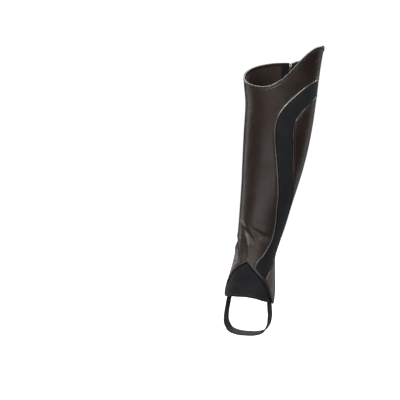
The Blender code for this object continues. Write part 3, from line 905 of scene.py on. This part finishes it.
nickelLook = {"dark": (0.16, 0.15, 0.14), "light": (0.30, 0.285, 0.27), "rough": 0.30}


def nickelFinish(look):
    finish = Finish("darkNickel", Metallic=1.0)
    where = finish.place()
    stain = finish.noise(where, 300.0, 4.0)
    scratch = finish.noise(finish.place((300.0, 300.0, 4000.0)), 1.0, 3.0)
    colour = finish.blended(finish.limited(stain, 0.35, 0.65), look["dark"], look["light"])
    rough = look["rough"] + scratch * 0.14 + (1 - stain) * 0.08
    return finish.finished(Base_Color=colour, Roughness=rough, Normal=finish.bump(scratch, 0.00003))


panelLeather = leatherFinish("panelLeather", {})
# the side panels take more of the painted light at the foot
sideLeather = leatherFinish("sideLeather", {"footLightShare": 0.9})
pipingLeather = leatherFinish("pipingLeather", pipingLook, seams=False, paintedHighlight=curveHighlight)
rearPipingLeather = leatherFinish("rearPipingLeather", {**pipingLook, **rearPipingLook}, seams=False)
bindingLeather = leatherFinish("bindingLeather", bindingLook, seams=False, paintedHighlight=foldHighlight)
fleshSide = fleshFinish(fleshLook)
stretchKnit = knitFinish("stretchKnit", stretchLook, seams=True)
gussetCloth = knitFinish("gussetCloth", gussetLook)
webbing = knitFinish("webbing", webbingLook)
zipCloth = knitFinish("zipCloth", tapeLook)
thread = threadFinish(threadLook)
nickel = nickelFinish(nickelLook)
print("finishes made")


def panel(name, node, maker, thickness, finishes, slot, level=0.0, bulge=0.0, leather=True):
    grids, edges = maker()
    points, marks = [], {"seam": [], "run": []}
    for grid in grids:
        angle, height = grid[..., 0], grid[..., 1]
        out, near, run = rolled(grid, edges)
        if leather:
            out = out + bumps(fineCreases + swells, angle, height)
        points.append(leg(angle, height, out + level + bulge * (1 - bell(near, 7.0))))
        marks["seam"].append(near)
        marks["run"].append(run)
    made = clothSheet(name, points, thickness, finishes, marks)
    print("cut", name)
    return worn(made, slot, node)


for name, node, grids, finish in (
    ("frontPanelLeather", "front_panel", frontPanelGrids, panelLeather),
    ("innerPanelLeather", "inner_panel", innerPanelGrids, sideLeather),
    ("outerRearPanelLeather", "outer_rear_panel", rearPanelGrids, sideLeather),
):
    panel(name, node, grids, cut["leather"], [finish, fleshSide], "leather")
panel(
    "stretchPanelKnit", "stretch_panel", bandGrids, cut["stretch"], [stretchKnit, stretchKnit],
    "stretch_fabric", level=-0.1, bulge=0.5, leather=False,
)

gussetCut = {
    "sink": -3.0,
    "bulge": 2.2,
    "acrossCells": 110,
    "upCells": 34,
    "roomBehind": 5.9,  # how far it runs up behind the arch
    "hem": 5.0,
    "hemProud": 0.45,
    "hemGroove": 0.25,
    "ripple": 0.35,
    "fullBulge": 16,  # depth below the arch over which it comes fully out
}


def gussetOut(look, depth):
    # how far out it lies at a depth below the arch, and how far the depth has gone toward full bulge
    share = np.clip((depth - 2) / look["fullBulge"], 0, 1)
    return look["sink"] + look["bulge"] * share**2 * (3 - 2 * share), share


def gussetPoints(look):
    angles = np.linspace(gussetHem[0][0], gussetHem[-1][0], look["acrossCells"] + 1)
    low, edge = smooth(gussetHem, angles)[:, 0], heightOn(footLine, angles)
    high = np.maximum(edge + look["roomBehind"], low + 5.0)
    rise = np.concatenate([[0, 0.008, 0.02], np.linspace(0.04, 1, look["upCells"] - 2)])[:, None]
    heights = low + (high - low) * rise
    above = heights - low
    out, below = gussetOut(look, edge - heights)
    fold = 1 / (1 + np.exp((above - look["hem"]) / 0.35))
    out = out + look["hemProud"] * fold * (1 - 0.5 * bell(above, 0.8))
    out = out - look["hemGroove"] * bell(above - look["hem"] + 1.2, 0.6)
    out = out + look["ripple"] * np.sin(angles * 0.21 + 1.0) * bell(above - 1, 9)
    sag = bell(heights + 281 + 0.02 * angles, 6) * 0.5 - bell(heights + 270, 5) * 0.35
    return leg(angles, heights, out + sag * below, creased=False), edge - heights


gussetGrid, underArch = gussetPoints(gussetCut)
gusset = clothSheet(
    "instepGussetCloth", [gussetGrid], cut["stretch"], [gussetCloth, gussetCloth],
    {"seam": [np.abs(underArch) + 1], "run": [underArch]},
)
worn(gusset, "stretch_fabric", "instep_gusset")
print("gusset made")

strapCut = {
    "ends": ((-87.0, -293, -306), (91.0, -313, -300)),  # angle and two heights inside each V point
    "width": 29.0,
    "cup": 2.1,
    "sink": -5.2,
    "runCells": 130,
    "crossCells": 20,
}


def strapPoints(look):
    innerEnd, outerEnd = (
        [leg(angle, height, look["sink"], creased=False) for height in heights]
        for angle, *heights in look["ends"]
    )
    line = along([(i, *p) for i, p in enumerate([*innerEnd, *strapLine, *outerEnd])])[:, 1:]
    line = spaced(line, look["runCells"])
    ahead = unit(np.gradient(line, axis=0))
    outward = unit(np.cross([0, 1, 0], ahead))
    sideways = np.cross(ahead, outward)
    sides = np.linspace(-1, 1, look["crossCells"] + 1)
    cup = look["cup"] * np.clip((line[:, 2] + 340) / 30, 0, 1)
    edge = 0.35 * bell(1 - np.abs(sides), 0.05)
    wander = 0.21 * np.sin(np.arange(len(line)) * 0.13)
    return (
        line[:, None]
        + sideways[:, None] * (sides * look["width"] / 2 + wander[:, None])[..., None]
        - outward[:, None] * (cup[:, None] * sides**2 + edge)[..., None]
    )


strap = clothSheet("footStrapWebbing", [strapPoints(strapCut)], cut["strapWall"], [webbing])
worn(strap, "elastic", "foot_strap")
print("strap made")


def beside(edge, shift):
    # a line of (angle, height) moved into the cloth, measured over the surface
    moved = edge.copy()
    for i, (here, scale) in enumerate(zip(edge, perDegree(edge[:, 1]))):
        metric = [scale, 1]
        before = (here - edge[max(i - 1, 0)]) * metric
        after = (edge[min(i + 1, len(edge) - 1)] - here) * metric
        n0 = leftOf(before if before.any() else after)
        n1 = leftOf(after if after.any() else before)
        middle = unit(n0 + n1)
        moved[i] = here + middle * shift / (middle @ n0) / metric
    return moved


# the folded binding's section: into the cloth, and out, in millimetres
bindingFold = {
    "flap": 4.6,
    "proud": 0.55,
    "stitchAt": 3.4,
    "wallInside": 2.35,
    "step": 3.2,
    "pointRoom": 9.0,  # kept free of stations before a sharp point of the foot edge
}


def bindingSection(look):
    flap, proud, inside = look["flap"], look["proud"], look["wallInside"]
    rim = [(0.62 - 0.95 * np.sin(a), -0.9 + 1.42 * np.cos(a)) for a in np.radians(np.arange(12, 170, 19.5))]
    groove = look["stitchAt"]
    return [
        (flap, -0.35), (flap + 0.08, 0.1), (flap - 0.05, proud * 0.7), (flap - 0.45, proud),
        (groove + 0.35, proud * 0.92), (groove, proud * 0.7), (groove - 0.35, proud * 0.92),
        (2.2, proud), *rim, (2.2, -inside),
        (flap - 0.3, -inside), (flap, -inside + 0.3), (flap, -1.9),
    ]


def binding(name, node, edges, look, toward, wearAndHighlight):
    # edges are joined runs of (angle, height); toward is 1 where the cloth lies above the edge and -1 below
    section = bindingSection(look)
    line = np.vstack([edges[0], *[e[1:] for e in edges[1:]]])
    rings = np.stack([leg(*beside(line, toward * deep).T, out) for deep, out in section], 1)
    index = np.arange(len(rings) * len(section)).reshape(len(rings), len(section))
    following = np.roll(index, -1, axis=1)
    faces = np.stack([index[:-1], following[:-1], following[1:], index[1:]], -1).reshape(-1, 4).tolist()
    faces += [index[0].tolist(), index[-1][::-1].tolist()]
    piece = meshPiece(name, rings.reshape(-1, 3), faces, bindingLeather)
    # painted highlight along the folded rim, strongest on the foot binding
    paintedHighlight = [wearAndHighlight * bell(deep, 0.625) if out > -1.6 else 0.0 for deep, out in section]
    marked(piece, "fold", np.tile(paintedHighlight, len(rings)))
    return worn(smoothed(mended(piece, doubles=False), 60), "binding", node)


def measured(line):
    # (angle, height) as millimetres round and up the leg
    return line * np.column_stack([perDegree(line[:, 1]), np.ones(len(line))])


def evenRun(line, start, end):
    part = between(line, start, end)
    run = runOf(measured(part))
    cells = max(2, int(round(run[-1] / bindingFold["step"])))
    return readAt(np.linspace(0, run[-1], cells + 1), run, part)


def openAtPoint(run, point):
    # drops the stations too near a sharp point, at the run's place 0 or -1
    metric = measured(run)
    keep = np.linalg.norm(metric - metric[point], axis=1) > bindingFold["pointRoom"]
    keep[point] = True
    return run[keep]


topRun = evenRun(topLine, -zipAngle, zipAngle)
footRuns = [
    openAtPoint(evenRun(footLine, -zipAngle, innerPoint), -1),
    openAtPoint(evenRun(footLine, innerPoint, archPoint), 0),
    openAtPoint(evenRun(footLine, archPoint, outerPoint), -1),
    openAtPoint(evenRun(footLine, outerPoint, zipAngle), 0),
]
# the last number is the strength of the painted highlight on the rim
binding("topBindingLeather", "top_binding", [topRun], bindingFold, -1, 0.12)
binding("footBindingLeather", "foot_binding", footRuns, bindingFold, 1, 1.0)
print("bindings folded")


def pipingPoints(edge):
    fine = fineLine(edge, np.linspace(0, 1, 6 * len(edge)))
    line = leg(*fine.T, -cut["pipingSink"])
    return line[runOf(line) > 2 * cut["bindingRadius"] + cut["pipingRadius"]]


for name, node, edge, finish in (
    ("frontPipingCord", "front_piping", frontEdge, pipingLeather),
    ("rearPipingCord", "rear_piping", rearEdge, rearPipingLeather),
):
    worn(cordMesh(name, pipingPoints(edge), cut["pipingRadius"], finish), "binding", node)
print("pipings laid")

stitchLook = {"length": 2.3, "thick": 0.62, "pitch": 3.2, "sides": 6}


def started():
    # a new primitive with its place in its mesh, left in edit mode with nothing selected
    bpy.ops.object.transform_apply(location=True, rotation=True, scale=True)
    bpy.ops.object.mode_set(mode="EDIT")
    bpy.context.tool_settings.mesh_select_mode = (False, False, True)
    bpy.ops.mesh.select_all(action="DESELECT")
    return bpy.context.object


def cylinder(radius, length, sides, level=0.0):
    # along X
    nothingSelected()
    place, turned = (0, 0, level * mm), (0, np.pi / 2, 0)
    bpy.ops.mesh.primitive_cylinder_add(
        vertices=sides, radius=radius * mm, depth=length * mm, rotation=turned, location=place
    )
    return started()


def bisected(places, across):
    for place in places:
        bpy.ops.mesh.select_all(action="SELECT")
        bpy.ops.mesh.bisect(plane_co=Vector(across) * place * mm, plane_no=across)
    bpy.ops.object.mode_set(mode="OBJECT")


def patternOf(piece):
    # a piece's corners in millimetres and its faces, to be copied
    shape = np.array([c.co[:] for c in piece.data.vertices]) / mm
    sides = [tuple(f.vertices) for f in piece.data.polygons]
    bpy.data.objects.remove(piece, do_unlink=True)
    return shape, sides


def copied(name, pattern, spots, finish, angle):
    # one mesh of copies at spots of (place, axes, way), mirrored where way is -1
    shape, sides = pattern
    corners, faces = [], []
    for number, (here, axes, way) in enumerate(spots):
        corners.append(here + (shape * [way, 1, 1]) @ np.array(axes))
        faces += [tuple(number * len(shape) + i for i in face[::way]) for face in sides]
    return smoothed(meshPiece(name, np.vstack(corners), faces, finish), angle)


def oneStitch(look):
    # a short thread, thick in its middle and sunk at both ends, along X
    piece = cylinder(look["thick"] / 2, look["length"], look["sides"])
    bisected([share * look["length"] for share in (0.30, -0.30, 0.08, -0.08)], (1, 0, 0))
    half = look["length"] / 2 * mm
    for corner in piece.data.vertices:
        end = (abs(corner.co.x) / half) ** 3
        corner.co.y *= 1 - 0.35 * end
        corner.co.z = corner.co.z * (1 - 0.45 * end) - 0.42 * mm * end
    return patternOf(piece)


stitch = oneStitch(stitchLook)


def sewn(name, rows, slot="binding"):
    # rows of (places, ahead, normal)
    spots = [(here, (x, np.cross(z, x), z), 1) for row in rows for here, x, z in zip(*row)]
    return worn(copied(name, stitch, spots, thread, 60), slot)


def squared(ahead, normal):
    # unit directions, the second at right angles to the first
    ahead = unit(ahead)
    return ahead, unit(normal - ahead * (normal * ahead).sum(1, keepdims=True))


def stitchRow(line, out, skip):
    # evenly spaced places along a line of (angle, height)
    dense = readAt(np.linspace(0, 1, 900), np.linspace(0, 1, len(line)), line)
    run = runOf(leg(*dense.T, out))
    at = np.arange(skip + stitchLook["pitch"] / 2, run[-1] - skip, stitchLook["pitch"])
    before, spots, after = (readAt(at + step, run, dense).T for step in (-0.6, 0, 0.6))
    return leg(*spots, out), *squared(leg(*after, out) - leg(*before, out), outOf(*spots))


sewing = {
    "besidePiping": 4.3,
    "besideSeam": 2.7,
    "besideZip": 2.6,
    "inBinding": 3.4,
    "aboveHem": 3.8,
}


def seamStitches():
    rows = []
    for edge, away, out, skip in (
        (frontEdge, sewing["besidePiping"], 0.15, 6.5),
        (rearEdge, sewing["besidePiping"], 0.15, 6.5),
        (seam, sewing["besideSeam"], 0.12, 5.0),
    ):
        fine = fineLine(edge, np.linspace(0, 1, 8 * len(edge)))
        rows += [stitchRow(beside(fine, way * away), out, skip) for way in (1, -1)]
    for angle, low, high in ((-zipAngle, innerFootAt, innerTopAt), (zipAngle, footAt, topAt)):
        side = angle - np.sign(angle) * sewing["besideZip"] / perDegree(np.array([low, high]))
        rows.append(stitchRow(np.linspace((side[0], low), (side[1], high), 60), 0.05, 5.5))
    return rows


def bindingStitches():
    rows = [stitchRow(beside(topRun, -sewing["inBinding"]), 0.52, 1.5)]
    return rows + [stitchRow(beside(run, sewing["inBinding"]), 0.52, 4.0) for run in footRuns]


def hemStitches():
    angles = np.linspace(gussetHem[0][0] + 3, gussetHem[-1][0] - 3, 120)
    heights = smooth(gussetHem, angles)[:, 0] + sewing["aboveHem"]
    out = gussetOut(gussetCut, heightOn(footLine, angles) - heights)[0] + 0.32
    points = leg(angles, heights, out, creased=False)
    run = runOf(points)
    at = np.arange(2, run[-1] - 2, stitchLook["pitch"])
    here = readAt(at, run, points)
    normal = outOf(np.interp(at, run, angles), np.interp(at, run, heights))
    return [(here, *squared(readAt(at + 1, run, points) - here, normal))]


sewn("seamStitches", seamStitches(), "leather")
sewn("bindingStitches", bindingStitches())
sewn("gussetHemStitches", hemStitches(), "stretch_fabric")
print("sewn")

zipLook = {
    "tape": 12.0,
    "tapeFrom": 2.7,
    "tapeOut": -3.4,
    "bead": 0.8,
    "toothPitch": 2.6,
    "tooth": (4.3, 2.0, 1.35),  # across, out, up
    "toothOut": -2.1,
    "rows": 150,
}
zipHeights = np.linspace(footAt + 1.0, topAt - 1.0, zipLook["rows"])


for name, node, side in (("zipTapeOuter", "zip_tape_outer", -1), ("zipTapeInner", "zip_tape_inner", 1)):
    ends = sorted((side * zipLook["tapeFrom"], side * (zipLook["tapeFrom"] + zipLook["tape"])))
    acrossIt = np.linspace(*ends, 9) / perDegree(zipHeights)[:, None]
    points = leg(180 + acrossIt, zipHeights[:, None], zipLook["tapeOut"], creased=False)
    worn(clothSheet(name, [points], cut["tapeWall"], [zipCloth]), "tape", node)
for name, side in (("zipBeadOuter", -1), ("zipBeadInner", 1)):
    beadAngle = 180 + side * (zipLook["tapeFrom"] + 0.3) / perDegree(zipHeights)
    bead = leg(beadAngle, zipHeights, zipLook["toothOut"], creased=False)
    worn(cordMesh(name, bead, zipLook["bead"], zipCloth, 2), "tape")


def backAxes(height, reach=4):
    # right, up and out at a height of the zip
    up = unit(leg(180.0, height + reach, creased=False) - leg(180.0, height - reach, creased=False))
    right = np.array([-1.0, 0.0, 0.0])
    right = unit(right - up * (up @ right)[..., None])
    return right, up, np.cross(right, up)


def pick(piece, test):
    # selects faces by their middle and normal, in edit mode
    bpy.ops.object.mode_set(mode="OBJECT")
    for item in (*piece.data.edges, *piece.data.vertices):
        item.select = False
    for face in piece.data.polygons:
        face.select = bool(test(face.center / mm, face.normal))
        for corner in face.vertices if face.select else ():
            piece.data.vertices[corner].select = True
    bpy.ops.object.mode_set(mode="EDIT")


def block(low, high):
    # a primitive cube between two corners
    nothingSelected()
    low, high = Vector(low) * mm, Vector(high) * mm
    bpy.ops.mesh.primitive_cube_add(size=1.0, location=(low + high) / 2, scale=high - low)
    return started()


def bevelled(piece, width, segments, **more):
    return applied(piece, "BEVEL", width=width * mm, segments=segments, limit_method="ANGLE", **more)


def oneTooth(look):
    wide, deep, tall = look["tooth"]
    piece = block((-0.8, -tall / 2, -deep / 2), (wide - 0.8, tall / 2, deep / 2))
    pick(piece, lambda middle, normal: normal.x < -0.9)
    bpy.ops.transform.resize(value=(1, 0.62, 0.8))
    bpy.ops.mesh.extrude_region_move(TRANSFORM_OT_translate={"value": (-0.35 * mm, 0, 0)})
    bpy.ops.transform.resize(value=(1, 0.6, 0.7))
    return patternOf(bevelled(piece, 0.18, 1))


def zipTeeth(look):
    heights = np.arange(zipHeights[0] + 2, zipHeights[-1] - 1, look["toothPitch"] / 2)
    places = leg(180.0, heights, look["toothOut"], creased=False)
    ways = np.where(np.arange(len(heights)) % 2, 1, -1)
    spots = [(here, axes, way) for here, *axes, way in zip(places, *backAxes(heights), ways)]
    return worn(copied("zipTeeth", oneTooth(look), spots, nickel, 35), "zip_metal", "zip_chain")


zipTeeth(zipLook)
print("zip teeth set")

sliderLook = {
    "belowTop": 14.0,
    "plate": (8.0, 11.0, 2.4),
    "low": -0.6,
    "taper": 0.74,
    "rim": 0.9,
    "groove": 0.5,
    "grooveDepth": 0.25,
    "lugTaper": 0.62,
    "lugWidth": 1.2,
    "lugGap": 3.3,
    "pin": 0.8,
    "pinOut": 4.2,
}
pullLook = {
    "width": 6.0,
    "length": 20.0,
    "thick": 1.4,
    "eye": 2.1,
    "hole": 1.15,
    "rim": 0.9,
    "panelDepth": 0.22,
    "panel": (-18.4, -8.5),
    "cuts": (0.1, 0.2, 0.35, 0.5, 0.65, 0.8, 0.9, 0.96),
    # place along the tab and share of its width
    "outline": (
        (-20.0, 0.55), (-19.2, 0.80), (-18.2, 0.94), (-16.5, 1.0), (-13.5, 0.98), (-10.5, 0.86),
        (-7.5, 0.72), (-4.5, 0.72), (-3.0, 0.84), (-1.3, 0.97),
    ),
}


def hardware(name, pieces):
    # pieces joined, and moved from the slider's own directions to its place at the top of the zip
    alone(pieces[0])
    for piece in pieces[1:]:
        piece.select_set(True)
    bpy.ops.object.join()
    made = coated(bpy.context.object, nickel)
    made.name = name
    height = topAt - sliderLook["belowTop"]
    turned = Matrix(backAxes(height, 8)).transposed().to_4x4()
    made.data.transform(Matrix.Translation(Vector(leg(180.0, height, creased=False) * mm)) @ turned)
    made.data.update()
    return smoothed(made, 35)


def sliderBody(look):
    wide, tall, thick = look["plate"]
    low, high = look["low"], look["low"] + thick
    plate = block((-wide / 2, -tall / 2, low), (wide / 2, tall / 2, high))
    pick(plate, lambda middle, normal: normal.y < -0.9)
    bpy.ops.transform.resize(value=(look["taper"], 1, 1))
    pick(plate, lambda middle, normal: normal.z > 0.9)
    bpy.ops.mesh.inset(thickness=look["rim"] * mm)
    bpy.ops.mesh.inset(thickness=look["groove"] * mm, depth=-look["grooveDepth"] * mm)
    pieces = [bevelled(plate, 0.5, 3)]
    for side in (1, -1):
        near, far = sorted((side * look["lugGap"], side * (look["lugGap"] + look["lugWidth"])))
        lug = block((near, -1.6, high - 0.6), (far, 1.6, look["pinOut"] + 1.5))
        pick(lug, lambda middle, normal: normal.z > 0.9)
        bpy.ops.transform.resize(value=(1, look["lugTaper"], 1))
        pieces.append(bevelled(lug, 0.42, 3))
    length = 2 * (look["lugGap"] + look["lugWidth"] - 0.2)
    pieces.append(bevelled(cylinder(look["pin"], length, 24, look["pinOut"]), 0.15, 2))
    return worn(hardware("zipSlider", pieces), "zip_metal", "zip_slider")


def pullTab(look, out):
    half, length, thick = look["width"] / 2, look["length"], look["thick"] / 2
    eye = cylinder(look["eye"], 2 * half, 32, out)
    pick(eye, lambda middle, normal: abs(normal.x) > 0.9)
    bpy.ops.mesh.inset(thickness=(look["eye"] - look["hole"]) * mm)
    bpy.ops.mesh.bridge_edge_loops()
    bevelled(eye, 0.16, 2)
    (places, widths), (low, high) = zip(*look["outline"]), look["panel"]
    near = places[-1]
    tongue = block((-half, -length, out - thick), (half, near, out + thick))
    bisected([near - share * (length + near) for share in look["cuts"]], (0, 1, 0))
    for corner in tongue.data.vertices:
        corner.co.x *= np.interp(corner.co.y / mm, places, widths)
    for way in (1, -1):
        pick(tongue, lambda middle, normal: normal.z * way > 0.9 and low < middle.y < high)
        bpy.ops.mesh.inset(thickness=look["rim"] * mm, depth=-look["panelDepth"] * mm)
    bevelled(tongue, 0.22, 2, angle_limit=0.6)
    made = hardware("zipPullTab", [eye, tongue])
    return worn(made, "zip_metal", "zip_pull", body="pull_tab")


sliderBody(sliderLook)
pullTab(pullLook, sliderLook["pinOut"])
print("slider and pull tab made")
stageLook = {
    "floorAt": -0.388,
    "floorRadius": 0.9,
    "floor": (0.80, 0.80, 0.80),
    "floorGlow": 0.80,
    "backdrop": 1.02,
    "sky": 0.02,
    "horizon": 0.025,
    "ground": 0.02,
    "groundFront": 0.22,  # in front of the object, toward the azimuth below
    "groundTurn": -12.0,
    "groundSpread": (0.35, 0.80),
    "skyFrom": (0.25, 0.75),
    "groundFrom": (-0.05, -0.40),
}


def makeFloor(look):
    nothingSelected()
    bpy.ops.mesh.primitive_circle_add(
        vertices=128, radius=look["floorRadius"], fill_type="NGON", location=(0, 0, look["floorAt"])
    )
    floor = bpy.context.object
    floor.name = "floor"
    bpy.ops.object.transform_apply(location=True, rotation=True, scale=True)
    finish = Finish(
        "paleFloor", Roughness=0.9, Specular_IOR_Level=0.1, Emission_Strength=look["floorGlow"],
        Emission_Color=(1.0, 1.0, 1.0, 1.0),
    )
    soft = finish.noise(finish.place(), 3.0)
    shade = finish.blended(soft, look["floor"], tuple(c * 1.02 for c in look["floor"]))
    floor.data.materials.append(finish.finished(Base_Color=shade))
    # the low lights and the surround's ground stand for its light on the object
    floor.visible_diffuse = floor.visible_glossy = floor.visible_shadow = False


class Surround(Finish):
    # the studio round the object, with the same way of adding nodes
    def __init__(self, look):
        world = bpy.data.worlds.new("studio")
        world.use_nodes = True
        bpy.context.scene.world = world
        self.tree = world.node_tree
        self.shader = self.tree.nodes["Background"]
        where = self.node("ShaderNodeTexCoord", out="Generated")
        east, north, height = self.split(where)
        turn = np.radians(look["groundTurn"])
        aside, ahead = float(np.sin(turn)), float(np.cos(turn))
        front = self.limited(east * aside - north * ahead, *look["groundSpread"])
        above, below = self.limited(height, *look["skyFrom"]), self.limited(height, *look["groundFrom"])
        ground = look["ground"] + front * (look["groundFront"] - look["ground"])
        lit = look["horizon"] + above * (look["sky"] - look["horizon"])
        lit = lit + below * (ground - look["horizon"])
        seen = self.node("ShaderNodeLightPath", out="Is Camera Ray")
        self.put(self.shader.inputs["Color"], (1.0, 1.0, 1.0))
        self.put(self.shader.inputs["Strength"], lit * (1 - seen) + seen * look["backdrop"])


# azimuth, elevation, distance, width, height, watts
softLights = {
    "keyLeft": (-22.0, 27.0, 2.4, 0.9, 1.1, 33.0),
    "keyRight": (60.0, 27.0, 2.4, 0.9, 1.1, 31.0),
    "right": (100.0, 27.0, 2.4, 0.9, 1.1, 2.4),
    "topLeft": (-40.0, 60.0, 2.3, 0.4, 0.4, 10.0),
    "foldGlint": (-64.0, 36.0, 2.4, 0.8, 0.8, 6.0),
    "bandGlint": (22.0, 31.0, 2.4, 1.2, 0.8, 3.2),
    "leftStreak": (-117.0, -9.0, 2.4, 0.25, 1.5, 2.8),
    "leftBounce": (-128.0, -36.0, 0.52, 0.25, 0.2, 0.12),
    "floorBounce": (4.0, -35.0, 0.6, 0.9, 0.3, 0.48),
    "rightEdge": (157.0, -12.0, 2.4, 0.2, 1.3, 1.2),
    "backLeft": (222.0, 40.0, 2.4, 1.0, 1.0, 26.0),
    "backRight": (158.0, 40.0, 2.4, 1.0, 1.0, 26.0),
}


def makeLights(lights):
    aim = Vector((0, 0, -0.08))
    for name, (turn, rise, far, wide, tall, power) in lights.items():
        way = direction(turn, rise)
        data = bpy.data.lights.new(name, "AREA")
        data.shape = "RECTANGLE"
        data.size, data.size_y, data.energy = wide, tall, power
        light = linked(name, data)
        light.location = aim + way * far
        light.visible_camera = False
        light.rotation_euler = way.to_track_quat("Z", "Y").to_euler()


makeFloor(stageLook)
Surround(stageLook)
makeLights(softLights)
bpy.context.scene.view_settings.view_transform = "Standard"
print("studio lit")
